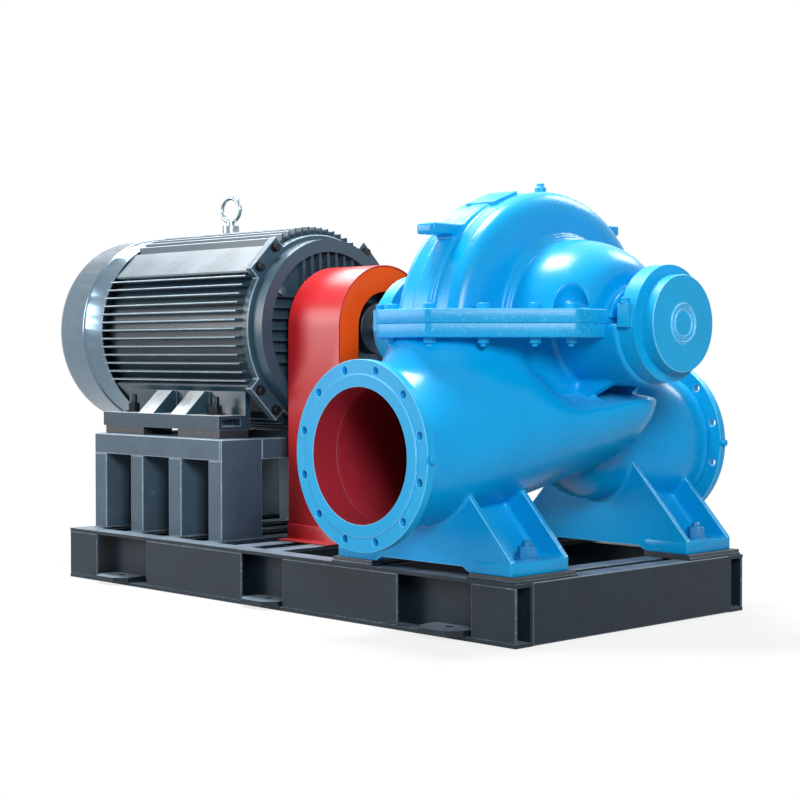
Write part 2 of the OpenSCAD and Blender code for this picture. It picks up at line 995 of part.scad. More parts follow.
// Sloped end of a leg at the height z
function leg_edge(z) = leg_reach - leg_slope * (z - foot_z - leg_slope_from);

// Transverse leg plate: sloped ends, raised bottom edge between the feet
module leg_plate_outline() {
  polygon([
    [-leg_reach, foot_z], [-leg_reach + foot_length, foot_z],
    [-leg_reach + foot_length + 20, foot_z + leg_arch], [leg_reach - foot_length - 20, foot_z + leg_arch],
    [leg_reach - foot_length, foot_z], [leg_reach, foot_z],
    [leg_reach, foot_z + leg_slope_from], [leg_edge(leg_top), leg_top],
    [-leg_edge(leg_top), leg_top], [-leg_reach, foot_z + leg_slope_from]
  ]);
}

// Web between the two plates, set back from their sloped edges
module leg_web_outline() {
  low = foot_z + foot_slab - 5;
  polygon([
    [leg_edge(low) - leg_recess - leg_web, low], [leg_edge(low) - leg_recess, low],
    [leg_edge(leg_top) - leg_recess, leg_top], [leg_edge(leg_top) - leg_recess - leg_web, leg_top]
  ]);
}

module leg_pair(foot_outer) {
  for (y = [-foot_outer, -foot_rear - leg_plate])
    translate([pump_x, y + leg_plate, 0])
      rotate([90, 0, 0])
        linear_extrude(leg_plate)
          leg_plate_outline();
  both_ends() {
    // foot slab with rounded upper edges at its outer end
    hull() {
      translate([pump_x + leg_reach - foot_length, -foot_outer, foot_z])
        cube([foot_length, foot_outer - foot_rear, foot_slab - foot_round]);
      translate([pump_x + leg_reach - foot_length, -foot_outer + foot_round, foot_z])
        cube([foot_length - foot_round, foot_outer - foot_rear - 2 * foot_round, foot_slab]);
    }
    translate([pump_x, -foot_rear - 1, 0])
      rotate([90, 0, 0])
        linear_extrude(foot_outer - foot_rear - 2)
          leg_web_outline();
  }
}

module below_split(depth) {
  translate([-big / 2, -big / 2, split_z - big])
    cube([big, big, big - depth]);
}

// Outer form of the lower casing without its hollows
module casing_outer() {
  casing_body();
  translate([0, 0, split_z - split_flange])
    linear_extrude(split_flange)
      split_outline();
  intersection() {
    shaft_cylinder(pump_x - box_half, 2 * box_half, box_radius);
    below_split(0);
  }
}

module pump_legs_front() {
  color("#1894d2")
    difference() {
      leg_pair(foot_front);
      casing_body();
    }
}

module pump_legs_rear() {
  color("#1894d2")
    difference() {
      mirror([0, 1, 0])
        leg_pair(discharge_neck - neck_gap);
      casing_body();
    }
}

bracket_radius = 165;
bracket_wall = 24;
bracket_root = core_half - 30;
bracket_rib = 18;
bracket_rib_rise = 76;
bracket_rib_length = 138;
bracket_rib_angles = [68, 112];

// Rib under a bracket that runs out along it, drawn in the plane of the shaft
module bracket_rib_outline() {
  inner = bracket_wall / 2 - bracket_radius;
  polygon([
    [pump_x + bracket_root, inner],
    [pump_x + bracket_root, -bracket_radius - bracket_rib_rise],
    [pump_x + core_half, -bracket_radius - bracket_rib_rise],
    [pump_x + core_half + bracket_rib_length, -bracket_radius],
    [pump_x + core_half + bracket_rib_length, inner]
  ]);
}

// Half shell from the casing core to a bearing housing, with ribs under it, longer by the given reach
module bearing_bracket(reach) {
  difference() {
    union() {
      intersection() {
        shaft_cylinder(pump_x + bracket_root, housing_half + reach - bracket_root, bracket_radius);
        below_split(0);
      }
      for (a = bracket_rib_angles)
        translate([0, 0, shaft_z])
          rotate([a, 0, 0])
            translate([0, 0, -bracket_rib / 2])
              linear_extrude(bracket_rib)
                bracket_rib_outline();
    }
    shaft_cylinder(pump_x + box_half, housing_half, bracket_radius - bracket_wall);
    casing_outer();
  }
}

module nde_bearing_bracket() {
  color("#1894d2") bearing_bracket(0);
}

module de_bearing_bracket() {
  color("#1894d2")
    translate([2 * pump_x, 0, 0])
      mirror([1, 0, 0])
        bearing_bracket(drive_reach);
}

module lower_casing() {
  color("#1894d2")
    difference() {
      casing_outer();
      suction_hollow();
      discharge_hollow();
      shaft_cylinder(-big / 2, big, shaft_d / 2 + shaft_gap);
    }
}

shoulder_steps = 8;
shoulder_depth = 70;
rim_step = 6;
box_step = 30;
box_lip = 22;
collar_rise = 14;
collar_width = 16;

// Half profile of the volute: radius across, half width up
function volute_outline() = concat(
  [[0, 0], [0, volute_half], [volute_radius - shoulder_depth, volute_half]],
  [for (k = [1 : shoulder_steps]) let (a = 90 * k / shoulder_steps)
    [volute_radius - shoulder_depth + (shoulder_depth - rim_step) * sin(a),
      volute_rim_half + (volute_half - volute_rim_half) * cos(a)]],
  [[volute_radius, volute_rim_half], [volute_radius, 0]]
);

// Half profile of a suction cover: radius across, distance from the pump centre up
function cover_half_outline() = concat(
  [[0, 0], [0, box_half], [box_radius - box_step, box_half], [box_radius - box_step, box_half - box_lip]],
  [for (k = [shoulder_steps : -1 : 0]) let (a = 90 * k / shoulder_steps)
    [box_radius + (cover_radius - box_radius) * cos(a),
      cover_half + (box_half - box_lip - cover_half) * sin(a)]],
  [[cover_radius, volute_half + collar_width], [cover_radius + collar_rise, volute_half + collar_width],
    [cover_radius + collar_rise, 0]]
);

module pump_revolve(y, z) {
  translate([pump_x, y, z])
    rotate([0, 90, 0])
      rotate_extrude()
        children();
}

tongue_half = 34;
tongue_plate = 30;
tongue_length = 150;
tongue_front = 455;
tongue_front_rise = 250;
tongue_rear = 310;
tongue_rear_rise = 278;

// Lifting tongue that stands out level from the volute rim
module lifting_tongue(y, rise) {
  translate([pump_x - tongue_half, y, split_z + rise - tongue_plate / 2])
    cube([2 * tongue_half, tongue_length, tongue_plate]);
}

cover_back = 15;
cover_drop = 15;

spine_half = 32;
spine_rise = 16;

nameplate_angle = 20;
nameplate_length = 98;
nameplate_width = 108;
nameplate_rise = 8;
nameplate_root = 40;

spot_face_radius = 46;
spot_face_height = 75;
spot_face_x = 48;
spot_face_y = 26;

// Room for the bolts at the corners of the split flange where the covers crowd them
module spot_faces() {
  both_ends()
    for (y = [spot_face_y - split_front_corner, split_rear_corner - spot_face_y])
      translate([pump_x + split_half - spot_face_x, y, split_z + split_flange])
        cylinder(h = spot_face_height, r = spot_face_radius);
}

module upper_casing() {
  color("#1894d2")
    difference() {
      union() {
        pump_revolve(-volute_y, volute_z) {
          polygon(volute_outline());
          mirror([0, 1])
            polygon(volute_outline());
        }
        // raised spine on the suction side of the rim, which runs out at the top
        pump_revolve(-volute_y - spine_rise, volute_z)
          translate([0, -spine_half])
            square([volute_radius, 2 * spine_half]);
        pump_revolve(cover_back - volute_y, split_z - cover_drop) {
          polygon(cover_half_outline());
          mirror([0, 1])
            polygon(cover_half_outline());
        }
        translate([0, 0, split_z])
          linear_extrude(split_flange)
            split_outline();
        lifting_tongue(-tongue_front, tongue_front_rise);
        lifting_tongue(tongue_rear - tongue_length, tongue_rear_rise);
        translate([pump_x, -volute_y, volute_z])
          rotate([nameplate_angle, 0, 0])
            translate([-nameplate_width / 2, -nameplate_length / 2, volute_radius - nameplate_root])
              cube([nameplate_width, nameplate_length, nameplate_root + nameplate_rise]);
      }
      below_split(0);
      spot_faces();
      shaft_cylinder(-big / 2, big, shaft_d / 2 + shaft_gap);
    }
}

// Nozzle flange about +Z with its face at z = 0 and its neck below
module nozzle_flange(turn) {
  difference() {
    union() {
      translate([0, 0, -raised_height])
        cylinder(h = raised_height, d = raised_face);
      translate([0, 0, -flange_thickness])
        cylinder(h = flange_thickness - raised_height, d = flange_od);
      translate([0, 0, -flange_thickness - neck_length])
        cylinder(h = neck_length, r = neck_r);
    }
    translate([0, 0, -flange_thickness - neck_length - 1])
      cylinder(h = flange_thickness + neck_length + 2, d = nozzle_bore);
    for (i = [0 : bolt_count - 1])
      rotate((i + turn) * 360 / bolt_count)
        translate([bolt_circle / 2, 0, -flange_thickness - 1])
          cylinder(h = flange_thickness + 2, d = bolt_hole);
  }
}

module suction_flange() {
  color("#1894d2")
    translate([pump_x, -suction_reach, nozzle_z])
      rotate([90, 0, 0])
        nozzle_flange(0.5);
}

module discharge_flange() {
  color("#1894d2")
    translate([pump_x, discharge_reach, nozzle_z])
      rotate([-90, 0, 0])
        nozzle_flange(0.5);
}

// Bearings, glands and shaft

cap_joint = 60;
cap_joint_drop = 10;
cap_joint_reach = 16;
cap_joint_inset = 7;

// Ring with a ledge at shaft level on both sides, where its cap is bolted down
module bearing_housing(reach) {
  from = pump_x + housing_half + reach;
  difference() {
    union() {
      shaft_cylinder(from, housing_length, housing_radius);
      translate([from + cap_joint_inset, -housing_radius - cap_joint_reach, shaft_z - cap_joint_drop])
        cube([housing_length - 2 * cap_joint_inset, 2 * (housing_radius + cap_joint_reach), cap_joint]);
    }
    shaft_cylinder(from - 1, housing_length + 2, shaft_d / 2 + shaft_gap);
  }
}

module nde_bearing_housing() {
  color("#1894d2") bearing_housing(0);
}

module de_bearing_housing() {
  color("#1894d2")
    translate([2 * pump_x, 0, 0])
      mirror([1, 0, 0])
        bearing_housing(drive_reach);
}

cover_rings = [53, 39];
cover_ring_width = 6;
cover_ring_height = 4;

// Closed cover with two raised rings round its middle
module nde_bearing_cover() {
  color("#1894d2") {
    shaft_cylinder(pump_x + housing_end, cover_plate, cover_plate_radius);
    for (r = cover_rings)
      difference() {
        shaft_cylinder(pump_x + housing_end + cover_plate - 1, cover_ring_height + 1, r);
        shaft_cylinder(pump_x + housing_end + cover_plate - 2, cover_ring_height + 3, r - cover_ring_width);
      }
  }
}

module de_bearing_cover() {
  from = pump_x - housing_end - drive_reach - cover_plate;
  color("#1894d2")
    difference() {
      shaft_cylinder(from, cover_plate, cover_plate_radius);
      shaft_cylinder(from - 1, cover_plate + 2, shaft_d / 2 + shaft_gap);
    }
}

module gland(x) {
  difference() {
    shaft_cylinder(x, gland_plate, gland_radius);
    shaft_cylinder(x - 1, gland_plate + 2, shaft_d / 2 + shaft_gap);
  }
}

module nde_gland() {
  color("#1779ad") gland(pump_x + box_half);
}

module de_gland() {
  color("#1779ad") gland(pump_x - box_half - gland_plate);
}

module pump_shaft() {
  color("#b8bcc0")
    shaft_cylinder(coupling_pump_x, pump_x + housing_end - coupling_pump_x, shaft_d / 2);
}

vent_y = 0;
vent_boss = 16;
vent_height = 30;

module vent_plug() {
  rim_top = volute_z + sqrt(pow(volute_radius, 2) - pow(volute_y - vent_y, 2));
  color("#1577a8")
    translate([pump_x, vent_y, rim_top - 3]) {
      cylinder(h = vent_height, r = vent_boss);
      translate([0, 0, vent_height - 1])
        cylinder(h = 12, r = vent_boss - 4, $fn = 6);
    }
}

base_side_rail_front();
base_side_rail_rear();
base_end_beam_pump();
base_end_beam_motor();
base_cross_beams();
base_closing_plates_front();
base_closing_plates_rear();
foundation_lugs_front();
foundation_lugs_rear();
pump_pads();
stool_top_beam_front();
stool_top_beam_rear();
stool_posts_front();
stool_posts_rear();
stool_cross_beams();
motor_shims();
motor_frame();
motor_feet();
motor_drive_end_ring();
motor_drive_end_shield();
motor_rear_shield();
motor_fan_cover();
motor_fan_grille();
motor_eye_bolt();
motor_shaft();
coupling_motor_half();
coupling_pump_half();
coupling_guard_shell();
coupling_guard_ends();
lower_casing();
upper_casing();
pump_legs_front();
pump_legs_rear();
suction_flange();
discharge_flange();
nde_bearing_bracket();
de_bearing_bracket();
nde_bearing_housing();
de_bearing_housing();
nde_bearing_cover();
de_bearing_cover();
nde_gland();
de_gland();
pump_shaft();
vent_plug();
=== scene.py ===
import json
import math
import bmesh
import bpy
import numpy as np
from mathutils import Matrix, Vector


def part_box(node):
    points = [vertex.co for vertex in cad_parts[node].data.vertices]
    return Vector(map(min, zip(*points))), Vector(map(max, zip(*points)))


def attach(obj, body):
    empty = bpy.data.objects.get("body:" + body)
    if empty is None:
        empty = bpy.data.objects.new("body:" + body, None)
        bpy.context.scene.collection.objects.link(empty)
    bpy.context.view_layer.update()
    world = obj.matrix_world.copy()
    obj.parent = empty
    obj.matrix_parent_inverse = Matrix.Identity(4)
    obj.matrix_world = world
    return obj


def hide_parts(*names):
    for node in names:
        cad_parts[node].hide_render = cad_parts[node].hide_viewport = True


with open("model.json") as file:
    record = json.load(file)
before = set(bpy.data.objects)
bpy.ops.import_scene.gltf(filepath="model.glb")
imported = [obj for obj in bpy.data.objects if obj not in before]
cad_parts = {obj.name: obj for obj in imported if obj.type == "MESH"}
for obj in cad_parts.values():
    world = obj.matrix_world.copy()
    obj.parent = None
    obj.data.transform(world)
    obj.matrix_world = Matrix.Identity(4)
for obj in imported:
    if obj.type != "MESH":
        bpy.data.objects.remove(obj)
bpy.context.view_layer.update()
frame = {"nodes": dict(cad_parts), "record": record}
nodes = frame["nodes"]
slotOf = {part["node"]: part["material_slot"] for part in frame["record"]["subparts"]}
print("frame loaded:", len(nodes), "nodes")


def corners(node):
    low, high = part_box(node)
    return np.array(low), np.array(high)


# datums of the set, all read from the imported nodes
inletLow, inletHigh = corners("suction_flange")
outletLow, outletHigh = corners("discharge_flange")
shaftLow, shaftHigh = corners("pump_shaft")
frameLow, frameHigh = corners("motor_frame")
pumpX = (inletLow[0] + inletHigh[0]) / 2
nozzleZ = (inletLow[2] + inletHigh[2]) / 2
shaftZ = (shaftLow[2] + shaftHigh[2]) / 2
footZ = corners("pump_pads")[1][2]

# shapes as arrays: a shape is its points and its groups of faces


def surface(rings, looped=False):
    # rows of closed loops joined by quads; flat caps close the ends, or the last row meets the first
    rows, count = rings.shape[:2]
    index = np.arange(rows * count).reshape(rows, count)
    upper = np.roll(index, -1, axis=0) if looped else index[1:]
    lower = index if looped else index[:-1]
    quads = np.stack([lower, np.roll(lower, -1, 1), np.roll(upper, -1, 1), upper], -1).reshape(-1, 4)
    caps = [] if looped else [index[:1, ::-1], index[-1:]]
    return rings.reshape(-1, 3), [quads] + caps


def sheetGrid(points):
    # open sheet: a grid of points joined by quads
    rows, count = points.shape[:2]
    index = np.arange(rows * count).reshape(rows, count)
    quads = np.stack([index[:-1, :-1], index[:-1, 1:], index[1:, 1:], index[1:, :-1]], -1).reshape(-1, 4)
    return points.reshape(-1, 3), [quads]


def join(*shapes):
    # several shapes as one, the faces of each counted on from the points before it
    starts = np.cumsum([0] + [len(shape[0]) for shape in shapes[:-1]])
    faces = [group + start for shape, start in zip(shapes, starts) for group in shape[1]]
    return np.concatenate([shape[0] for shape in shapes]), faces


def repeat(shape, places, turn=np.eye(3)):
    # the shape turned by a matrix and set down at each place
    points, faces = shape
    places = np.asarray(places, float).reshape(-1, 3)
    moved = ((points @ np.asarray(turn, float).T)[None] + places[:, None]).reshape(-1, 3)
    starts = np.arange(len(places))[:, None, None] * len(points)
    return moved, [(group[None] + starts).reshape(-1, group.shape[1]) for group in faces]


def mirrored(shape, axis, at=0.0):
    # the shape across a plane square to an axis, its faces turned round again
    points = shape[0].copy()
    points[:, axis] = 2 * at - points[:, axis]
    return points, [group[:, ::-1] for group in shape[1]]


# row of the (along, across, up) triple for x, y, z
axisOrder = {"x": [0, 1, 2], "y": [1, 2, 0], "z": [2, 0, 1]}


def onAxis(along, across, up, axis):
    # along runs down the named axis; across and up follow it in the order x, y, z
    order = axisOrder[axis]
    stacked = np.stack(np.broadcast_arrays(along, across, up), -1)
    result = np.empty_like(stacked)
    result[..., order] = stacked
    return result


def spunRings(profile, angle):
    # profile of (along, radius) at each angle round a line along x: across = radius cos, up = radius sin
    along, radius = np.asarray(profile, float).T
    return onAxis(along + 0 * angle, radius * np.cos(angle), radius * np.sin(angle), "x")


def turned(profile, centre, span=(0.0, 2 * math.pi), steps=96):
    # closed profile carried round from one angle to the other; a full turn meets itself
    full = math.isclose(span[1] - span[0], 2 * math.pi)
    angle = np.linspace(span[0], span[1], steps, endpoint=not full)[:, None]
    return surface(spunRings(profile, angle) + np.asarray(centre, float), looped=full)


def inset(outline, depth):
    # each corner moves in along the mitre of its two edges; the outline runs anticlockwise
    def normals(edge):
        edge = edge / np.maximum(np.linalg.norm(edge, axis=1, keepdims=True), 1e-9)
        return np.stack([edge[:, 1], -edge[:, 0]], 1)
    first = normals(outline - np.roll(outline, 1, 0))
    second = normals(np.roll(outline, -1, 0) - outline)
    mitre = (first + second) / np.maximum(1 + (first * second).sum(1, keepdims=True), 0.2)
    return outline - depth * mitre


def rectangle(left, low, right, high):
    return [[left, low], [right, low], [right, high], [left, high]]


def bothSides(right):
    # the right half of a profile and its mirror image, as one closed line
    right = np.asarray(right, float)
    return np.concatenate([right, (right * [-1, 1])[::-1]])


def roundCorners(outline, radius, steps=5):
    # each corner becomes a quadratic curve between two points one radius away along its edges
    outline = np.asarray(outline, float)
    def towards(other):
        edge = other - outline
        return outline + edge / np.linalg.norm(edge, axis=1, keepdims=True) * radius
    start, end = towards(np.roll(outline, 1, 0)), towards(np.roll(outline, -1, 0))
    t = np.linspace(0, 1, steps)[None, :, None]
    curve = (1 - t) ** 2 * start[:, None] + 2 * t * (1 - t) * outline[:, None] + t ** 2 * end[:, None]
    return curve.reshape(-1, 2)


def extruded(outline, start, stop, axis, bevels=(0.0, 0.0)):
    # outline of (across, up) carried along an axis, drawn in by a bevel at the start and at the end
    outline = np.asarray(outline, float)
    first, last = bevels
    loops, along = [outline, outline], [start + first, stop - last]
    if first:
        loops = [inset(outline, first), inset(outline, 0.3 * first)] + loops
        along = [start, start + 0.3 * first] + along
    if last:
        loops = loops + [inset(outline, 0.3 * last), inset(outline, last)]
        along = along + [stop - 0.3 * last, stop]
    rings = [onAxis(np.full(len(loop), place), loop[:, 0], loop[:, 1], axis)
             for loop, place in zip(loops, along)]
    return surface(np.stack(rings))


def tube(path, radius, sides, ripple, pitch):
    # circle carried along a path, its radius rippled by a sine of the distance, ends closed
    path = np.asarray(path, float)
    step = np.gradient(path, axis=0)
    step /= np.linalg.norm(step, axis=1, keepdims=True)
    helper = np.where(np.abs(step[:, 2:3]) > 0.9, [[1.0, 0, 0]], [[0, 0, 1.0]])
    side = np.cross(step, helper)
    side /= np.linalg.norm(side, axis=1, keepdims=True)
    rise = np.cross(side, step)
    distance = np.concatenate([[0], np.cumsum(np.linalg.norm(np.diff(path, axis=0), axis=1))])
    size = radius * (1 + ripple * np.sin(2 * math.pi * distance / pitch))
    angle = np.linspace(0, 2 * math.pi, sides, endpoint=False)
    circle = np.cos(angle)[None, :, None] * side[:, None] + np.sin(angle)[None, :, None] * rise[:, None]
    return surface(path[:, None] + size[:, None, None] * circle)


def straight(start, stop, count):
    # points at even steps from one place to another
    return np.asarray(start, float) + np.linspace(0, 1, count)[:, None] * (np.asarray(stop, float) - start)


# meshes and pieces


def makeMesh(name, shape):
    points, faces = shape
    sizes = np.concatenate([np.full(len(group), group.shape[1]) for group in faces])
    mesh = bpy.data.meshes.new(name)
    mesh.vertices.add(len(points))
    mesh.vertices.foreach_set("co", points.astype(np.float32).ravel())
    mesh.loops.add(int(sizes.sum()))
    order = np.concatenate([group.ravel() for group in faces])
    mesh.loops.foreach_set("vertex_index", order.astype(np.int32))
    mesh.polygons.add(len(sizes))
    mesh.polygons.foreach_set("loop_start", (np.cumsum(sizes) - sizes).astype(np.int32))
    mesh.update(calc_edges=True)
    mesh.validate()
    return mesh


def cleanMesh(mesh, merge=1e-6, flatten=None, outward=True):
    # doubles merged, coplanar triangles joined where asked, faces turned outwards
    work = bmesh.new()
    work.from_mesh(mesh)
    bmesh.ops.remove_doubles(work, verts=work.verts, dist=merge)
    if flatten:
        bmesh.ops.dissolve_limit(work, angle_limit=flatten, verts=work.verts, edges=work.edges)
    if outward:
        bmesh.ops.recalc_face_normals(work, faces=work.faces)
    work.to_mesh(mesh)
    work.free()
    return mesh


def faceValues(mesh, kind):
    # a row for each face: its "center" or its "normal"
    values = np.empty(3 * len(mesh.polygons))
    mesh.polygons.foreach_get(kind, values)
    return values.reshape(-1, 3)


def addPiece(name, mesh, finish, replaced=(), smooth=35):
    # a mesh as a named piece; edges sharper than the smoothing angle stay crisp
    mesh.polygons.foreach_set("use_smooth", np.ones(len(mesh.polygons), bool))
    mesh.set_sharp_from_angle(angle=math.radians(smooth))
    piece = bpy.data.objects.new(name, mesh)
    bpy.context.scene.collection.objects.link(piece)
    mesh.materials.clear()
    mesh.materials.append(finish)
    if replaced:
        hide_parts(*replaced)
    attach(piece, "root")
    return piece


def addShape(name, shape, finish, replaced=(), smooth=35):
    return addPiece(name, cleanMesh(makeMesh(name, shape)), finish, replaced, smooth)


def paintFaces(piece, finish, chosen):
    # the chosen faces take one more finish
    piece.data.materials.append(finish)
    last = len(piece.data.materials) - 1
    piece.data.polygons.foreach_set("material_index", last * chosen.astype(np.int32))


def breakEdges(piece, width, segments, limit, worn=None):
    # every edge sharper than the limit is broken, in a paler worn finish where one is given: wear, and a
    # painted highlight along the edge
    bevel = piece.modifiers.new("edges", "BEVEL")
    bevel.width = width
    bevel.segments = segments
    bevel.limit_method = "ANGLE"
    bevel.angle_limit = math.radians(limit)
    bevel.harden_normals = True
    bevel.use_clamp_overlap = True
    if worn:
        piece.data.materials.append(worn)
        bevel.material = len(piece.data.materials) - 1


def softNode(node, finish, width, segments=2, limit=40, flatten=0.6, worn=None):
    # copy of a node with its loose triangles merged and every real edge broken by a bevel
    mesh = cleanMesh(nodes[node].data.copy(), 1e-5, math.radians(flatten), outward=False)
    piece = addPiece(node + "_edges", mesh, finish, [node], smooth=30)
    breakEdges(piece, width, segments, limit, worn)
    return piece


def fused(name, shape, voxel, rounds, most=190000):
    # overlapping closed shapes run together like one casting, their corners filleted by the smoothing
    mesh = cleanMesh(makeMesh(name, shape))
    blank = bpy.data.objects.new(name + "_blank", mesh)
    bpy.context.scene.collection.objects.link(blank)
    melt = blank.modifiers.new("melt", "REMESH")
    melt.mode = "VOXEL"
    melt.voxel_size = voxel
    melt.use_smooth_shade = True
    soften = blank.modifiers.new("soften", "SMOOTH")
    soften.factor = 0.5
    soften.iterations = rounds
    bpy.context.view_layer.update()
    size = 2 * len(blank.evaluated_get(bpy.context.evaluated_depsgraph_get()).data.polygons)
    if size > most:
        thin = blank.modifiers.new("thin", "DECIMATE")
        thin.ratio = most / size
    result = bpy.data.meshes.new_from_object(blank.evaluated_get(bpy.context.evaluated_depsgraph_get()))
    bpy.data.objects.remove(blank)
    result.name = name
    print(name, "cast with", size, "triangles before thinning")
    return result


# finishes


def linear(code):
    # sRGB hex to linear colour
    value = np.array([int(code[i:i + 2], 16) for i in (1, 3, 5)]) / 255
    value = np.where(value <= 0.04045, value / 12.92, ((value + 0.055) / 1.055) ** 2.4)
    return (*value.tolist(), 1.0)


def addNode(tree, kind, inputs=None, **settings):
    node = tree.nodes.new(kind)
    for name, value in settings.items():
        setattr(node, name, value)
    for name, value in (inputs or {}).items():
        if isinstance(value, bpy.types.NodeSocket):
            tree.links.new(value, node.inputs[name])
        else:
            node.inputs[name].default_value = value
    return node


def startFinish(name):
    finish = bpy.data.materials.new(name)
    finish.use_nodes = True
    tree = finish.node_tree
    return finish, tree, tree.nodes["Principled BSDF"], addNode(tree, "ShaderNodeTexCoord").outputs["Object"]


def scaleFor(millimetres):
    # noise and cell scale whose features are about that many millimetres across
    return 1000.0 / millimetres


def paintFinish(name, look):
    # sprayed paint: cloudy colour, rubbed spots, and a paler tone on faces that look up, which is dust and a
    # painted light from above
    # orange peel and the grit of the metal below it are bumps
    finish, tree, shader, place = startFinish(name)
    cloud = addNode(tree, "ShaderNodeTexNoise", {
        "Vector": place, "Scale": scaleFor(look["cloudMm"]), "Detail": 4.0})
    tone = addNode(tree, "ShaderNodeMix", {
        "Factor": cloud.outputs["Fac"], "A": linear(look["dark"]), "B": linear(look["light"])},
        data_type="RGBA")
    rub = addNode(tree, "ShaderNodeTexNoise", {
        "Vector": place, "Scale": scaleFor(look["rubMm"]), "Detail": 8.0, "Roughness": 0.65})
    spots = addNode(tree, "ShaderNodeMapRange", {
        "Value": rub.outputs["Fac"], "From Min": look["rubFrom"], "From Max": look["rubFrom"] + 0.06,
        "To Max": look["rubMost"]})
    worn = addNode(tree, "ShaderNodeMix", {
        "Factor": spots.outputs["Result"], "A": tone.outputs["Result"], "B": linear(look["rub"])},
        data_type="RGBA")
    shape = addNode(tree, "ShaderNodeNewGeometry")
    facing = addNode(tree, "ShaderNodeSeparateXYZ", {"Vector": shape.outputs["Normal"]})
    # faces that look up turn towards the dust colour: real dust, and a painted light from above on the tops
    dustAndLitFacing = addNode(tree, "ShaderNodeMapRange", {
        "Value": facing.outputs["Z"], "From Min": look.get("dustAndLitTopFrom", 0.55), "From Max": 1.0,
        "To Max": look["dustAndLitTopMost"]})
    dustAndLitShare = addNode(tree, "ShaderNodeMath", {
        0: dustAndLitFacing.outputs["Result"], 1: cloud.outputs["Fac"]}, operation="MULTIPLY")
    top = addNode(tree, "ShaderNodeMix", {
        "Factor": dustAndLitShare.outputs["Value"], "A": worn.outputs["Result"], "B": linear(look["dustAndLitTop"])},
        data_type="RGBA")
    tree.links.new(top.outputs["Result"], shader.inputs["Base Color"])
    sheen = addNode(tree, "ShaderNodeMapRange", {
        "Value": rub.outputs["Fac"], "To Min": look["smooth"], "To Max": look["rough"]})
    tree.links.new(sheen.outputs["Result"], shader.inputs["Roughness"])
    peel = addNode(tree, "ShaderNodeTexNoise", {
        "Vector": place, "Scale": scaleFor(look["peelMm"]), "Detail": 2.0})
    grit = addNode(tree, "ShaderNodeTexNoise", {
        "Vector": place, "Scale": scaleFor(look["gritMm"]), "Detail": 5.0})
    swell = addNode(tree, "ShaderNodeBump", {
        "Height": grit.outputs["Fac"], "Strength": look["gritDepth"], "Distance": 0.001})
    bump = addNode(tree, "ShaderNodeBump", {
        "Height": peel.outputs["Fac"], "Strength": look["peelDepth"], "Distance": 0.0006,
        "Normal": swell.outputs["Normal"]})
    tree.links.new(bump.outputs["Normal"], shader.inputs["Normal"])
    shader.inputs["Specular IOR Level"].default_value = look.get("specular", 0.5)
    shader.inputs["Coat Weight"].default_value = look.get("coat", 0.0)
    shader.inputs["Coat Roughness"].default_value = 0.18
    return finish


def metalFinish(name, look):
    # bare metal: soft stains over a steady colour, fine marks drawn out along the tool's path
    finish, tree, shader, place = startFinish(name)
    stain = addNode(tree, "ShaderNodeTexNoise", {
        "Vector": place, "Scale": scaleFor(look["stainMm"]), "Detail": 5.0})
    tone = addNode(tree, "ShaderNodeMix", {"Factor": stain.outputs["Fac"], "A": linear(look["dark"]),
                                           "B": linear(look["light"])}, data_type="RGBA")
    tree.links.new(tone.outputs["Result"], shader.inputs["Base Color"])
    stretched = addNode(tree, "ShaderNodeMapping", {"Vector": place, "Scale": look["stretch"]})
    marks = addNode(tree, "ShaderNodeTexNoise", {"Vector": stretched.outputs["Vector"],
                                                 "Scale": scaleFor(look["markMm"]), "Detail": 3.0})
    sheen = addNode(tree, "ShaderNodeMapRange", {
        "Value": marks.outputs["Fac"], "From Min": 0.3, "From Max": 0.7, "To Min": look["smooth"],
        "To Max": look["rough"]})
    tree.links.new(sheen.outputs["Result"], shader.inputs["Roughness"])
    bump = addNode(tree, "ShaderNodeBump", {"Height": marks.outputs["Fac"], "Strength": look["markDepth"],
                                            "Distance": 0.0004})
    tree.links.new(bump.outputs["Normal"], shader.inputs["Normal"])
    shader.inputs["Metallic"].default_value = look["metal"]
    return finish


# alkyd enamel sprayed on cast iron: bright sky blue, a wet gloss with orange peel over sand-cast swells
# its paler tops are dust and a painted light from above
blueEnamel = paintFinish("sky_blue_alkyd_enamel", {
    "dark": "#008ECC", "light": "#00A4E2", "cloudMm": 160, "rub": "#2FB2EA", "rubMm": 26, "rubFrom": 0.66,
    "rubMost": 0.25, "dustAndLitTop": "#5FC2EF", "dustAndLitTopMost": 0.5, "smooth": 0.2, "rough": 0.34, "peelMm": 4.5,
    "peelDepth": 0.10, "gritMm": 22, "gritDepth": 0.22, "specular": 0.25})
# the same enamel on machined faces: flatter, without the swells of the casting
blueMachined = paintFinish("sky_blue_enamel_on_machined_iron", {
    "dark": "#0096CE", "light": "#0CACE6", "cloudMm": 90, "rub": "#55BFEC", "rubMm": 16, "rubFrom": 0.62,
    "rubMost": 0.4, "dustAndLitTop": "#5FBDEA", "dustAndLitTopMost": 0.25, "smooth": 0.28, "rough": 0.48, "peelMm": 3.0,
    "peelDepth": 0.14, "gritMm": 9, "gritDepth": 0.12, "specular": 0.28})
# the enamel where it was sprayed thin over coarse sand-cast edges: pitted, with paler worn grains
blueRough = paintFinish("sky_blue_enamel_on_rough_casting", {
    "dark": "#008CC6", "light": "#10AAE4", "cloudMm": 70, "rub": "#74CBF0", "rubMm": 7, "rubFrom": 0.58,
    "rubMost": 0.6, "dustAndLitTop": "#6CC6EF", "dustAndLitTopMost": 0.5, "smooth": 0.24, "rough": 0.46, "peelMm": 3.0,
    "peelDepth": 0.25, "gritMm": 7, "gritDepth": 0.5, "specular": 0.3})
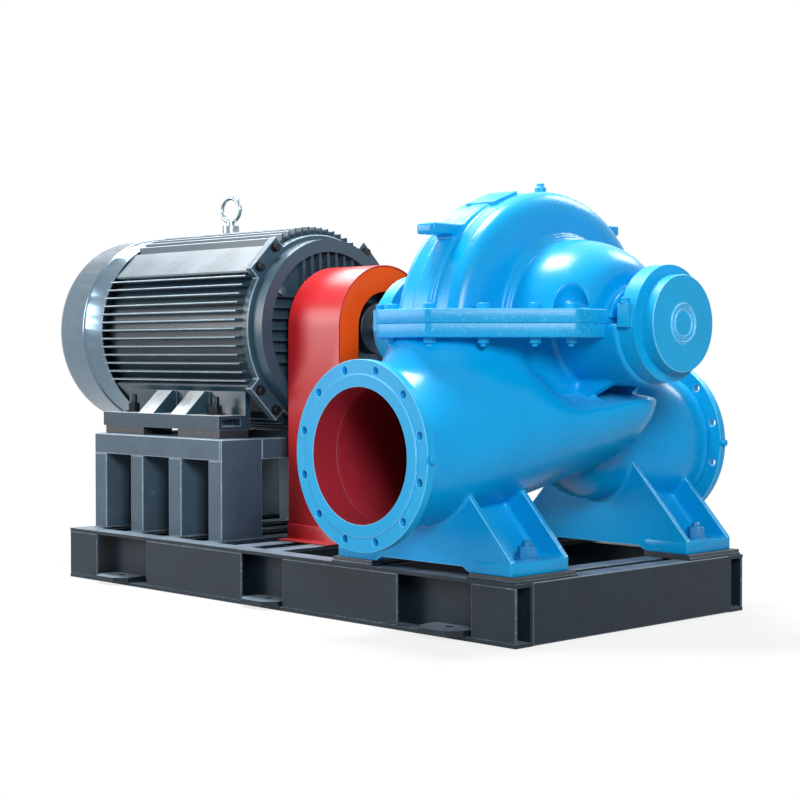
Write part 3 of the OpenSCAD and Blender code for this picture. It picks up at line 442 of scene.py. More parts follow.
# the blue enamel on the foot bolts, darkened: painted shade on the bolts
blueWithPaintedShade = paintFinish("blue_enamel_with_painted_shade_on_bolts", {
    "dark": "#0B6CA6", "light": "#1A8CC8", "cloudMm": 30, "rub": "#4AA8DA", "rubMm": 8, "rubFrom": 0.62,
    "rubMost": 0.5, "dustAndLitTop": "#3C86B2", "dustAndLitTopMost": 0.2, "smooth": 0.3, "rough": 0.5, "peelMm": 2.5,
    "peelDepth": 0.12, "gritMm": 6, "gritDepth": 0.15, "coat": 0.1})
# blue edges where the paint is thin, paler with wear and with a painted highlight along them
blueWornAndHighlit = paintFinish("sky_blue_enamel_worn_and_highlit_at_edges", {
    "dark": "#2CAEE8", "light": "#86D2F4", "cloudMm": 45, "rub": "#B4E3F8", "rubMm": 9, "rubFrom": 0.56,
    "rubMost": 0.7, "dustAndLitTop": "#A5DDF6", "dustAndLitTopMost": 0.5, "smooth": 0.24, "rough": 0.44, "peelMm": 3.0,
    "peelDepth": 0.14, "gritMm": 6, "gritDepth": 0.3, "specular": 0.4})
# red oxide primer in the water passages: dull and grainy
oxidePrimer = paintFinish("red_oxide_primer", {
    "dark": "#861A28", "light": "#A32434", "cloudMm": 120, "rub": "#AA3C48", "rubMm": 18, "rubFrom": 0.68,
    "rubMost": 0.4, "dustAndLitTop": "#B04A52", "dustAndLitTopMost": 0.2, "smooth": 0.5, "rough": 0.7, "peelMm": 4.0,
    "peelDepth": 0.15, "gritMm": 14, "gritDepth": 0.3, "specular": 0.3})
# gloss red enamel on folded sheet: smooth, with a soft highlight along the bends
redEnamel = paintFinish("signal_red_enamel", {
    "dark": "#AE1820", "light": "#C0252B", "cloudMm": 140, "rub": "#D8575A", "rubMm": 14, "rubFrom": 0.7,
    "rubMost": 0.35, "dustAndLitTop": "#DE7C7A", "dustAndLitTopMost": 0.25, "smooth": 0.26, "rough": 0.4, "peelMm": 3.5,
    "peelDepth": 0.07, "gritMm": 40, "gritDepth": 0.08, "specular": 0.35})
# orange-red enamel on the end plates of the guard, brighter than the shell: partly painted light on the end
# faces; flatter in colour, with a faint sheen
orangeEnamel = paintFinish("orange_red_enamel", {
    "dark": "#F64A04", "light": "#FF5A0A", "cloudMm": 120, "rub": "#F07A45", "rubMm": 14, "rubFrom": 0.7,
    "rubMost": 0.35, "dustAndLitTop": "#F0875C", "dustAndLitTopMost": 0.2, "smooth": 0.28, "rough": 0.42, "peelMm": 3.5,
    "peelDepth": 0.07, "gritMm": 40, "gritDepth": 0.08, "specular": 0.2})
# two-pack slate paint on the motor castings: semi-gloss, edges of the fins catch the light
slateEnamel = paintFinish("slate_two_pack_paint", {
    "dark": "#1D323E", "light": "#2F4A59", "cloudMm": 110, "rub": "#6E8796", "rubMm": 12, "rubFrom": 0.7,
    "rubMost": 0.4, "dustAndLitTop": "#C0CDD5", "dustAndLitTopMost": 1.0, "smooth": 0.22, "rough": 0.4, "peelMm": 3.0,
    "peelDepth": 0.1, "gritMm": 12, "gritDepth": 0.16, "specular": 0.4})
# the same paint on the feet, pale on the sloping ribs: a painted highlight on the faces that look up
slateHighlitSlopes = paintFinish("slate_paint_highlit_on_slopes", {
    "dark": "#1D323E", "light": "#2F4A59", "cloudMm": 60, "rub": "#6E8796", "rubMm": 12, "rubFrom": 0.7,
    "rubMost": 0.4, "dustAndLitTop": "#E2EAEE", "dustAndLitTopFrom": 0.25, "dustAndLitTopMost": 2.8, "smooth": 0.22, "rough": 0.4,
    "peelMm": 3.0, "peelDepth": 0.1, "gritMm": 12, "gritDepth": 0.16, "specular": 0.4})
# the frame paint where it sits on smooth lands and shields
slateSmooth = paintFinish("slate_paint_on_turned_iron", {
    "dark": "#2C4350", "light": "#3F5865", "cloudMm": 130, "rub": "#7A8E9A", "rubMm": 14, "rubFrom": 0.7,
    "rubMost": 0.35, "dustAndLitTop": "#8B9CA6", "dustAndLitTopMost": 0.4, "smooth": 0.28, "rough": 0.44, "peelMm": 3.0,
    "peelDepth": 0.08, "gritMm": 20, "gritDepth": 0.1, "specular": 0.4})
# fin tips and corners of the motor, rubbed to a pale grey that also paints a highlight along them
slateWornAndHighlit = paintFinish("slate_paint_worn_and_highlit_at_edges", {
    "dark": "#5F7684", "light": "#A3B6C2", "cloudMm": 70, "rub": "#C9D6DD", "rubMm": 10, "rubFrom": 0.58,
    "rubMost": 0.7, "dustAndLitTop": "#C2CFD7", "dustAndLitTopMost": 0.6, "smooth": 0.24, "rough": 0.42, "peelMm": 3.0,
    "peelDepth": 0.1, "gritMm": 8, "gritDepth": 0.2, "specular": 0.5})
# satin black paint on rolled channel: mill scale grain, tops pale with dust and a painted light from above,
# scuffs to grey
blackSatin = paintFinish("satin_black_paint", {
    "dark": "#101A21", "light": "#1F2F3B", "cloudMm": 90, "rub": "#5C7386", "rubMm": 15, "rubFrom": 0.64,
    "rubMost": 0.45, "dustAndLitTop": "#97A9B8", "dustAndLitTopMost": 1.0, "smooth": 0.32, "rough": 0.55, "peelMm": 3.0,
    "peelDepth": 0.14, "gritMm": 8, "gritDepth": 0.2, "specular": 0.25})
# edges of the base, scuffed to grey, the grey also a painted highlight along them
blackScuffedAndHighlit = paintFinish("black_paint_scuffed_and_highlit_at_edges", {
    "dark": "#24323D", "light": "#5D7384", "cloudMm": 50, "rub": "#93A8B8", "rubMm": 9, "rubFrom": 0.56,
    "rubMost": 0.7, "dustAndLitTop": "#A9BAC7", "dustAndLitTopMost": 0.8, "smooth": 0.3, "rough": 0.5, "peelMm": 3.0,
    "peelDepth": 0.14, "gritMm": 6, "gritDepth": 0.3, "specular": 0.4})
# the same paint, greyer, on the stool: the grey is a painted sheen for the light its front faces reflect
slateWithPaintedSheen = paintFinish("satin_slate_paint_with_painted_sheen", {
    "dark": "#3A4C5B", "light": "#4E6373", "cloudMm": 80, "rub": "#8499AC", "rubMm": 14, "rubFrom": 0.64,
    "rubMost": 0.5, "dustAndLitTop": "#93A7B8", "dustAndLitTopMost": 0.7, "smooth": 0.3, "rough": 0.5, "peelMm": 3.0,
    "peelDepth": 0.12, "gritMm": 8, "gritDepth": 0.18, "specular": 0.3})
# milled plate wiped over with thin black paint
wipedSteel = paintFinish("wiped_milled_steel", {
    "dark": "#1D2226", "light": "#343B41", "cloudMm": 60, "rub": "#6A737A", "rubMm": 10, "rubFrom": 0.6,
    "rubMost": 0.5, "dustAndLitTop": "#7A848B", "dustAndLitTopMost": 0.4, "smooth": 0.34, "rough": 0.55, "peelMm": 2.5,
    "peelDepth": 0.1, "gritMm": 6, "gritDepth": 0.12})
# deep drawn sheet steel, polished along its turn: bright with long soft streaks
drawnSteel = metalFinish("drawn_sheet_steel", {
    "dark": "#556A7A", "light": "#748A9A", "stainMm": 420, "stretch": (1.0, 0.06, 0.06), "markMm": 2.0,
    "smooth": 0.15, "rough": 0.28, "markDepth": 0.03, "metal": 0.85})
# zinc plate on forged steel: bright grey with a faint cloud
zincPlate = metalFinish("bright_zinc_plate", {
    "dark": "#77858E", "light": "#A6B2B9", "stainMm": 14, "stretch": (1.0, 1.0, 1.0), "markMm": 3.0,
    "smooth": 0.2, "rough": 0.34, "markDepth": 0.08, "metal": 1.0})
# turned shaft steel: rings of fine tool marks along the shaft
turnedSteel = metalFinish("turned_shaft_steel", {
    "dark": "#8F979C", "light": "#C3C9CD", "stainMm": 60, "stretch": (1.0, 0.03, 0.03), "markMm": 1.6,
    "smooth": 0.22, "rough": 0.38, "markDepth": 0.1, "metal": 1.0})
# machined grey iron: darker and duller than steel
greyIron = metalFinish("machined_grey_iron", {
    "dark": "#4A5055", "light": "#737A7F", "stainMm": 40, "stretch": (1.0, 0.05, 0.05), "markMm": 1.8,
    "smooth": 0.34, "rough": 0.5, "markDepth": 0.12, "metal": 1.0})
# heat-blackened bolt steel: near black with a thin oil sheen
blackBolt = metalFinish("oil_blacked_bolt_steel", {
    "dark": "#14171A", "light": "#2C3136", "stainMm": 9, "stretch": (1.0, 1.0, 1.0), "markMm": 2.0,
    "smooth": 0.3, "rough": 0.5, "markDepth": 0.1, "metal": 0.6})
print("finishes ready")

# pump: lower casing, one casting with its legs and bearing brackets

lowerCasing = {
    "wall": 0.022, "neck": 0.197, "bellyHalf": 0.350, "bellyDrop": 0.200, "bellyDepth": 0.420,
    "bellyY": 0.045, "lobePower": 1.75, "lobeRise": 0.020, "lobeClose": 0.170, "shoulderTop": 0.040,
    "shoulderFrom": 0.45, "shoulderTo": 0.72, "coreHalf": 0.200, "coreStart": 0.7, "coreInset": 0.006,
    "coreTopDrop": 0.025, "corePower": 3.2, "coreRadius": 0.350, "coreTaper": 0.3, "coreTurn": 80,
    "voluteY": -0.060, "voluteDrop": 0.040, "crown": 0.090, "crownRise": 2.2, "blend": 8.0,
    "throat": 0.114, "throatY": 0.200, "throatDrop": 0.043, "throatLift": 0.075, "throatShrink": 0.85,
    "splitFlange": 0.037, "suctionDepth": 0.5, "dischargeDepth": 0.95, "levels": 72, "filletRise": 0.016,
    "faceBack": 0.026, "liningStep": 0.015, "skin": 0.0015, "swellPower": 1.15, "sinkPower": 1.6,
    "thinnest": 0.003, "liningEnd": 0.003, "stepAt": 0.004, "primerShare": 0.55, "primerFrom": 0.2,
    "primerTop": 0.06, "primerPast": 0.03, "voxel": 0.0066, "softening": 5}
neckEnds = inletHigh[1], outletLow[1]    # the round necks end here, at the back of the flange nodes
lobeZ = shaftZ - lowerCasing["bellyDrop"]


def ease(t):
    return t * t * (3 - 2 * t)


def mix(a, b, t):
    return a + (b - a) * t


def lobeStation(y):
    # half width, top, bottom, widest level, upper and lower power of the suction passage at each y
    # it swells from the round neck to the lobes and closes to nothing behind them
    c = lowerCasing
    t = ((y - neckEnds[0]) / (c["bellyY"] - neckEnds[0])).clip(0, 1)
    closing = np.sqrt((1 - ((y - c["bellyY"]) / c["lobeClose"]) ** 2).clip(0, 1))
    left = np.where(y > c["bellyY"], closing, 1.0)
    climb = np.sin(math.pi / 2 * (t / c["shoulderFrom"]).clip(0, 1))
    rising = mix(nozzleZ + c["neck"], shaftZ - c["shoulderTop"], climb)
    fall = ease(((t - c["shoulderFrom"]) / (c["shoulderTo"] - c["shoulderFrom"])).clip(0, 1))
    top = mix(rising, lobeZ + c["lobeRise"] * left, fall)
    bottom = mix(nozzleZ - c["neck"], lobeZ - (c["bellyDepth"] - c["bellyDrop"]) * left, t ** c["sinkPower"])
    half = mix(c["neck"], c["bellyHalf"], t ** c["swellPower"]) * left
    return half, top, bottom, mix(nozzleZ, lobeZ, t), 2.0, mix(2.0, c["lobePower"], t)


def coreStation(y):
    # the same of the upright core: a ramp up from the neck, then round about the volute axis
    c = lowerCasing
    start = neckEnds[0] + c["coreInset"]
    t = ((y - start) / (c["voluteY"] - start)).clip(0, 1)
    lean = np.cos(np.arcsin(((y - c["voluteY"]) / c["coreRadius"]).clip(0, 1)))
    swell = mix(c["coreStart"] * c["neck"], c["coreHalf"], np.sin(math.pi / 2 * t))
    half = swell * (1 - c["coreTaper"] * (1 - lean))
    climb = np.sin(math.pi / 2 * (c["crownRise"] * t).clip(0, 1))
    top = mix(nozzleZ + c["neck"] - c["coreTopDrop"], shaftZ + c["crown"], climb)
    under = shaftZ - c["voluteDrop"] - c["coreRadius"] * lean
    bottom = mix(nozzleZ - c["coreStart"] * c["neck"], under, ease(t))
    power = mix(2.0, c["corePower"], ease(t))
    return half, top, bottom, mix(nozzleZ, mix(lobeZ, shaftZ, 1 - lean), ease(t)), power, power


def sectionHalf(z, station):
    # half width at the level z of a superellipse with its own upper and lower half
    half, top, bottom, widest, upPower, downPower = station
    above = z > widest
    power = np.where(above, upPower, downPower)
    u = np.where(above, (z - widest) / np.maximum(top - widest, 1e-6),
                 (widest - z) / np.maximum(widest - bottom, 1e-6))
    return half * (1 - u.clip(0, 1) ** power) ** (1 / power)


def bodyHalf(y, z):
    # lobes and core in one line: the larger half width, with a soft change from one to the other
    k = lowerCasing["blend"]
    return (sectionHalf(z, lobeStation(y)) ** k + sectionHalf(z, coreStation(y)) ** k) ** (1 / k)


def levelRings(y, low, high, half):
    # closed loops at each y, up the right side and down the left, crowded at the bottom and the top
    share = (1 - np.cos(np.linspace(0, math.pi, lowerCasing["levels"]))) / 2
    z = low + (high - low) * share
    reach = np.maximum(half(y, z), lowerCasing["thinnest"])
    right = np.stack([pumpX + reach, y + 0 * z, z], -1)
    left = np.stack([pumpX - reach, y + 0 * z, z], -1)[:, ::-1]
    return np.concatenate([right, left], 1)


def bodyRings(y):
    # outside of the lobes and the core, cut off level inside the split flange
    lobe, core = lobeStation(y), coreStation(y)
    high = np.minimum(np.maximum(lobe[1], core[1]), shaftZ - lowerCasing["splitFlange"] / 2)
    return levelRings(y, np.minimum(lobe[2], core[2]), high, bodyHalf)


def drawnIn(station, wall):
    # the same station with a wall taken off its sides, top and bottom
    return (station[0] - wall, station[1] - wall, station[2] + wall) + station[3:]


def hollowRings(y, wall):
    # loops of the suction passage, a wall inside its outer surface
    station = drawnIn(lobeStation(y), wall)
    return levelRings(y, station[2], station[1], lambda y, z: sectionHalf(z, station))


def throatSection(y):
    # radius and level of the discharge pipe: a cone from neck to throat, then a tail up into the core
    c = lowerCasing
    t = ((neckEnds[1] - y) / (neckEnds[1] - c["throatY"])).clip(0, 1)
    tail = ((c["throatY"] - y) / (c["throatY"] - c["voluteY"])).clip(0, 1)
    radius = mix(c["neck"], c["throat"], ease(t)) * mix(1.0, c["throatShrink"], tail)
    return radius, mix(nozzleZ, nozzleZ - c["throatDrop"], ease(t)) + c["throatLift"] * ease(tail)


def pipeRings(y, wall):
    # circles about the level of the discharge pipe, a wall inside its outer surface
    radius, level = throatSection(y)
    radius = radius - wall
    angle = np.linspace(0, 2 * math.pi, 2 * lowerCasing["levels"], endpoint=False)[None]
    return np.stack([pumpX + radius * np.sin(angle), y + 0 * angle, level - radius * np.cos(angle)], -1)


def column(values):
    # one row for each loop
    return np.asarray(values, float)[:, None]


def casingShells():
    # each nozzle is one tube: out of its hollow, round the neck behind the flange
    # then over the outside and closed at the far end
    # the lining steps back behind the bore of the flange node
    c = lowerCasing
    frontFace, rearFace = inletLow[1] + c["faceBack"], outletHigh[1] - c["faceBack"]
    flare = -c["skin"] - c["filletRise"] * np.array([[1.0], [0.5], [0.16], [0.0], [0.0]])
    flareY = np.array([0.0, 0.006, 0.014, 0.026, 0.048])
    deepY = mix(neckEnds[0], c["bellyY"], c["suctionDepth"])
    endY = c["voluteY"] + c["coreRadius"] * math.sin(math.radians(c["coreTurn"]))
    suction = np.concatenate([
        hollowRings(column(np.linspace(deepY, neckEnds[0] + c["liningEnd"], 22)), c["wall"]),
        hollowRings(column([neckEnds[0] - c["stepAt"], frontFace]), c["liningStep"]),
        hollowRings(column(frontFace + flareY), flare),
        bodyRings(column(np.linspace(neckEnds[0], endY, 90)))])
    farY = mix(neckEnds[1], c["throatY"], c["dischargeDepth"])
    discharge = np.concatenate([
        pipeRings(column(np.linspace(farY, neckEnds[1] - c["liningEnd"], 16)), c["wall"]),
        pipeRings(column([neckEnds[1] + c["stepAt"], rearFace]), c["liningStep"]),
        pipeRings(column(rearFace - flareY), flare),
        pipeRings(column(np.linspace(neckEnds[1], c["voluteY"], 48)), -c["skin"])])
    return [surface(suction), surface(discharge)]


# the cast legs are smaller by the trim, so that crisp plates with a finer trim cover them
pumpLegs = {
    "reach": 0.322, "slopeFrom": 0.037, "slope": 0.92, "arch": 0.012, "archRun": 0.02, "plate": 0.017,
    "footLength": 0.150, "slab": 0.033, "recess": 0.095, "web": 0.022, "outerFront": 0.470,
    "outerRear": 0.453, "inner": 0.251, "plateSink": 0.012, "webSink": 0.011, "webInset": 0.004,
    "toe": 0.010, "toeRise": 0.012, "corner": 0.004, "rims": (0.002, 0.0025), "trim": 0.0015,
    "plateTrim": 0.0006}


def casingUnderside(offset, y):
    # level of the casing surface above the offsets from the pump centre at one y
    # far up where the casing doesn't reach
    offset = np.abs(offset)
    if y > 0:
        radius, level = (float(value) for value in throatSection(np.float64(y)))
        return np.where(offset < radius, level - np.sqrt(np.maximum(radius ** 2 - offset ** 2, 0)), 9.0)
    station = np.array([[y]])
    z = np.linspace(float(lobeStation(station)[2]) + 1e-4, lobeZ, 240)
    half = np.maximum.accumulate(bodyHalf(station, z[None])[0])
    return np.where(offset < half[-1], np.interp(offset, half, z), 9.0)


def legPlates(side, outer, trim):
    # two cross plates under the casing and a web between their sloped ends, all drawn in by the trim
    g = pumpLegs
    x = np.linspace(-1, 1, 161) * (g["reach"] - trim)
    slope = footZ + g["slopeFrom"] + (g["reach"] - np.abs(x)) / g["slope"] - 1.5 * trim
    arch = np.clip((g["reach"] - g["footLength"] - np.abs(x)) / g["archRun"], 0, 1)
    low = footZ + trim + g["arch"] * arch
    thick = g["plate"] - 2 * trim
    parts = []
    for y in (side * (outer - g["plate"] / 2), side * (g["inner"] + g["plate"] / 2)):
        top = np.minimum(slope, casingUnderside(x, y) + g["plateSink"])
        ring = np.stack([np.stack([x + pumpX, np.full_like(x, y + half * thick / 2), level], -1)
                         for half, level in ((-1, low), (1, low), (1, top), (-1, top))], 1)
        parts.append(surface(ring))
    ys = side * np.linspace(outer - g["webInset"], g["inner"] + g["webInset"], 40)
    foot = g["reach"] - g["recess"] - 1.5 * trim
    reach = np.linspace(foot, 0.0, 240)
    line = footZ + g["slopeFrom"] + (foot - reach) / g["slope"]
    hit = np.array([np.argmax(line >= casingUnderside(reach, y) + g["webSink"]) for y in ys])
    endX, endZ = reach[hit], line[hit]
    back, ones = g["web"] - 2 * trim, np.ones(len(ys))
    toeZ = ones * (footZ + g["toeRise"])
    section = [(ones * (foot + g["toe"]), toeZ), (ones * foot, ones * (footZ + g["slopeFrom"])),
               (endX, endZ), (endX - back, endZ - 0.001), (ones * (foot - back), toeZ)]
    for end in (-1, 1):
        ring = np.stack([np.stack([pumpX + end * px, ys, pz], -1) for px, pz in section], 1)
        parts.append(surface(ring))
    return join(*parts)


def footSlabs(side, outer, trim):
    # a slab under each end of the leg, its corners rounded and its rims bevelled
    g = pumpLegs
    near, far = sorted((side * (outer - trim), side * (g["inner"] + trim)))
    parts = []
    for end in (-1, 1):
        low, high = sorted((end * (g["reach"] - g["footLength"] + trim), end * (g["reach"] - trim)))
        outline = roundCorners(rectangle(low, near, high, far), g["corner"])
        slab = extruded(outline + [pumpX, 0], footZ + trim, footZ + g["slab"] - trim, "z", g["rims"])
        parts.append(slab)
    return join(*parts)


freeHousing, driveHousing = corners("nde_bearing_housing"), corners("de_bearing_housing")
bracket = {
    "radius": 0.165, "wall": 0.024, "root": 0.170, "rib": 0.018, "ribRise": 0.076, "ribLength": 0.138,
    "ribAngles": (68, 112), "ribSink": 0.012, "ribEdge": 0.002, "boxRadius": 0.142, "boxHalf": 0.376,
    "boxBore": 0.034, "ends": (freeHousing[0][0] - pumpX, pumpX - driveHousing[1][0])}


def bracketShell(end):
    # half shell out to the bearing housing round the stuffing box
    k = bracket
    centre = np.array([pumpX, 0, shaftZ])
    inner = k["radius"] - k["wall"]
    shell = rectangle(k["root"], inner, end, k["radius"])
    box = rectangle(k["root"], k["boxBore"], k["boxHalf"], k["boxRadius"])
    under = math.pi, 2 * math.pi    # the lower half of a turn
    return join(*[turned(profile, centre, span=under, steps=61) for profile in (shell, box)])


def bracketRibs():
    # plates under the bracket that run out along it
    # each is drawn with radius across and distance along the shaft up, then turned
    k = bracket
    core, low, high = lowerCasing["coreHalf"], k["radius"] - k["ribSink"], k["radius"] + k["ribRise"]
    rib = np.array([[low, k["root"]], [low, core + k["ribLength"]], [high, core], [high, k["root"]]])[::-1]
    parts = []
    for degrees in k["ribAngles"]:
        points, faces = extruded(rib, -k["rib"] / 2, k["rib"] / 2, "z", (k["ribEdge"], k["ribEdge"]))
        angle = math.radians(degrees)
        radius, along, thick = points.T
        placed = np.stack([along, -radius * math.cos(angle) - thick * math.sin(angle),
                           -radius * math.sin(angle) + thick * math.cos(angle)], -1) + [pumpX, 0, shaftZ]
        parts.append((placed, faces))
    return join(*parts)


def bracketShapes():
    freeEnd, driveEnd = bracket["ends"]
    return [bracketShell(freeEnd), mirrored(bracketShell(driveEnd), 0, pumpX),
            bracketRibs(), mirrored(bracketRibs(), 0, pumpX)]


def facesInPassages(mesh):
    # faces on the water side of the wall, in the suction passage or in the discharge pipe
    x, y, z = faceValues(mesh, "center").T
    c = lowerCasing
    lining = c["wall"] * c["primerShare"]
    radius, level = throatSection(y)
    station = drawnIn(lobeStation(y), lining)
    inSuction = (np.abs(x - pumpX) < sectionHalf(z, station)) & (z < shaftZ - c["primerTop"])
    inSuction &= (y < -c["primerFrom"]) & (y > neckEnds[0] - c["primerPast"])
    inDischarge = np.hypot(x - pumpX, z - level) < radius - lining
    inDischarge &= (y > c["primerFrom"]) & (y < neckEnds[1] + c["primerPast"])
    return inSuction | inDischarge


legEnds = (-1, pumpLegs["outerFront"]), (1, pumpLegs["outerRear"])
castLegs = [make(*end, pumpLegs["trim"]) for end in legEnds for make in (legPlates, footSlabs)]
castings = join(*casingShells(), *bracketShapes(), *castLegs)
casingMesh = fused("lower_casing_cast", castings, lowerCasing["voxel"], lowerCasing["softening"])
castNodes = ["lower_casing", "pump_legs_front", "pump_legs_rear",
             "nde_bearing_bracket", "de_bearing_bracket"]
casingPiece = addPiece("lower_casing_cast", casingMesh, blueEnamel, castNodes, smooth=50)
paintFaces(casingPiece, oxidePrimer, facesInPassages(casingMesh))
crispPlates = join(*[legPlates(*end, pumpLegs["plateTrim"]) for end in legEnds])
plates = addShape("pump_leg_plates", crispPlates, blueEnamel)
breakEdges(plates, width=0.0036, segments=2, limit=40, worn=blueWornAndHighlit)
addShape("pump_foot_slabs", join(*[footSlabs(*end, 0.0) for end in legEnds]), blueEnamel)
ribEdges = join(bracketRibs(), mirrored(bracketRibs(), 0, pumpX))
addShape("bracket_rib_edges", ribEdges, blueEnamel)
print("lower casing done")

# split flange: two plates with a fine joint between them

splitPlates = {"half": 0.366, "front": 0.538, "rear": 0.430, "tip": 0.094, "thick": 0.037, "edge": 0.003,
               "joint": 0.001, "gap": 0.0003, "corner": 0.012}


def splitOutline():
    # long octagon, anticlockwise, its corners rounded
    s = splitPlates
    cornerFront, cornerRear = s["front"] - (s["half"] - s["tip"]), s["rear"] - (s["half"] - s["tip"])
    right = [[s["tip"], -s["front"]], [s["half"], -cornerFront],
             [s["half"], cornerRear], [s["tip"], s["rear"]]]
    return roundCorners(bothSides(right), s["corner"], 9) + [pumpX, 0]


def splitShapes():
    # two plates that leave a fine gap at the level of the shaft, with a tight bevel beside the gap
    s = splitPlates
    lower = extruded(splitOutline(), shaftZ - s["thick"], shaftZ - s["gap"], "z", (s["edge"], s["joint"]))
    upper = extruded(splitOutline(), shaftZ + s["gap"], shaftZ + s["thick"], "z", (s["joint"], s["edge"]))
    return join(lower, upper)


addShape("split_flange_plates", splitShapes(), blueRough, smooth=50)

# pump: upper casing, volute dome with a suction cover at each side

upperCasing = {
    "radius": 0.403, "axisY": -0.060, "axisDrop": 0.040, "half": 0.132, "rimHalf": 0.088,
    "shoulder": 0.070, "coverRadius": 0.245, "coverHalf": 0.165, "coverY": -0.045, "coverDrop": 0.015,
    "boxRadius": 0.142, "boxHalf": 0.376, "boxLip": 0.022, "boxStep": 0.030, "collarRise": 0.014,
    "collarWidth": 0.016, "spineHalf": 0.032, "spineRise": 0.016, "tongueHalf": 0.034,
    "tonguePlate": 0.030, "tongueFront": (-0.455, -0.305, 0.250), "tongueRear": (0.160, 0.310, 0.278),
    "padAngle": 20, "padWidth": 0.108, "padLength": 0.098, "padRise": 0.008, "spotRadius": 0.046,
    "spotHeight": 0.075, "spots": ((0.318, -0.240), (0.318, 0.132)), "spotPower": 6, "hidden": 0.012,
    "domeBore": 0.075, "rimStep": 0.003, "boxBore": 0.04, "spineBore": 0.1, "tongueCorner": 0.012,
    "padCorner": 0.006, "padSink": 0.035, "padEdge": 0.002, "voxel": 0.0048, "softening": 4}


def domed(profile, y, z, level, steps=121):
    # profile of (along, radius) turned about a line at y, z, from a level plane over to its other side
    radius = np.asarray(profile, float)[:, 1]
    start = np.arcsin(np.clip((level - z) / np.maximum(radius, 1e-6), -1, 1))[None]
    s = np.linspace(0, 1, steps)[:, None]
    angle = start + s * (math.pi - 2 * start)
    return surface(spunRings(profile, angle) + np.array([pumpX, y, z]))


def upperShapes():
    # dome: a profile with round shoulders; covers: a quarter ellipse down to the stuffing box at each side
    # spine: a narrow band over the dome; tongues: level plates for lifting
    u = upperCasing
    level = shaftZ + u["hidden"]    # inside the upper flange plate
    quarter = np.linspace(0, math.pi / 2, 15)
    shoulder = np.stack([u["rimHalf"] + (u["half"] - u["rimHalf"]) * np.cos(quarter),
                         u["radius"] - u["shoulder"] + (u["shoulder"] - u["rimStep"]) * np.sin(quarter)], 1)
    right = np.concatenate([[[u["half"], u["domeBore"]]], shoulder, [[u["rimHalf"], u["radius"]]]])
    dome = bothSides(right)
    boxEnd, lip = u["boxHalf"] - u["boxLip"], u["boxRadius"] - u["boxStep"]
    cover = np.stack([u["coverHalf"] + (boxEnd - u["coverHalf"]) * np.sin(quarter),
                      u["boxRadius"] + (u["coverRadius"] - u["boxRadius"]) * np.cos(quarter)], 1)[::-1]
    collar = u["half"] + u["collarWidth"]
    right = np.concatenate([[[u["boxHalf"], u["boxBore"]], [u["boxHalf"], lip], [boxEnd, lip]], cover,
                            [[collar, u["coverRadius"]], [collar, u["coverRadius"] + u["collarRise"]]]])
    covers = bothSides(right)
    side, bore = u["spineHalf"], u["spineBore"]
    spine = [[side, bore], [side, u["radius"]], [-side, u["radius"]], [-side, bore]]
    shapes = [domed(dome, u["axisY"], shaftZ - u["axisDrop"], level),
              domed(covers, u["coverY"], shaftZ - u["coverDrop"], level),
              domed(spine, u["axisY"] - u["spineRise"], shaftZ - u["axisDrop"], level)]
    half, thick = u["tongueHalf"], u["tonguePlate"]
    for near, far, rise in (u["tongueFront"], u["tongueRear"]):
        outline = roundCorners(rectangle(-half, near, half, far), u["tongueCorner"])
        tongue = extruded(outline + [pumpX, 0], shaftZ + rise - thick / 2, shaftZ + rise + thick / 2, "z")
        shapes.append(tongue)
    return shapes


def scalloped(mesh):
    # room for the corner bolts: points inside a dome over each bolt move out to its wall, with a soft edge
    u = upperCasing
    power = u["spotPower"]
    points = np.empty(3 * len(mesh.vertices))
    mesh.vertices.foreach_get("co", points)
    points = points.reshape(-1, 3)
    for across, y in u["spots"]:
        for side in (-1, 1):
            out = points[:, :2] - [pumpX + side * across, y]
            away = np.maximum(np.linalg.norm(out, axis=1), 1e-6)
            height = (points[:, 2] - shaftZ - splitPlates["thick"]) / u["spotHeight"]
            wall = u["spotRadius"] * np.sqrt(1 - height.clip(0, 1) ** 2)
            pushed = (away ** power + wall ** power) ** (1 / power)
            points[:, :2] += (pushed - away)[:, None] * out / away[:, None]
    mesh.vertices.foreach_set("co", points.ravel())
    return mesh


dome = fused("upper_casing_cast", join(*upperShapes()), upperCasing["voxel"], upperCasing["softening"])
addPiece("upper_casing_cast", scalloped(dome), blueEnamel, ["upper_casing"], smooth=50)


def platePad():
    # bare pad for a plate, tipped towards the suction side on the volute rim
    u = upperCasing
    angle = math.radians(u["padAngle"])
    w, l = u["padWidth"] / 2, u["padLength"] / 2
    outline = roundCorners(rectangle(-w, -l, w, l), u["padCorner"])
    points, faces = extruded(outline, u["radius"] - u["padSink"], u["radius"] + u["padRise"], "z",
                             (0.0, u["padEdge"]))
    c, s = math.cos(angle), math.sin(angle)
    turn = np.array([[1, 0, 0], [0, c, -s], [0, s, c]])
    return points @ turn.T + [pumpX, u["axisY"], shaftZ - u["axisDrop"]], faces


addShape("plate_pad", platePad(), blueMachined)
print("upper casing done")

# nozzle flanges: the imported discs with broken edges; the bore takes the primer

leastFacing = 0.8    # cosine of the widest angle at which a face still counts as looking at the axis

def facesInward(mesh, plane, centre, most=9.0):
    # which faces look at an axis across the two named directions and lie no farther from it than the limit
    out = faceValues(mesh, "center")[:, plane] - centre
    away = np.linalg.norm(out, axis=1)
    facing = (out * faceValues(mesh, "normal")[:, plane]).sum(1)
    return (facing < -leastFacing * away) & (away < most)


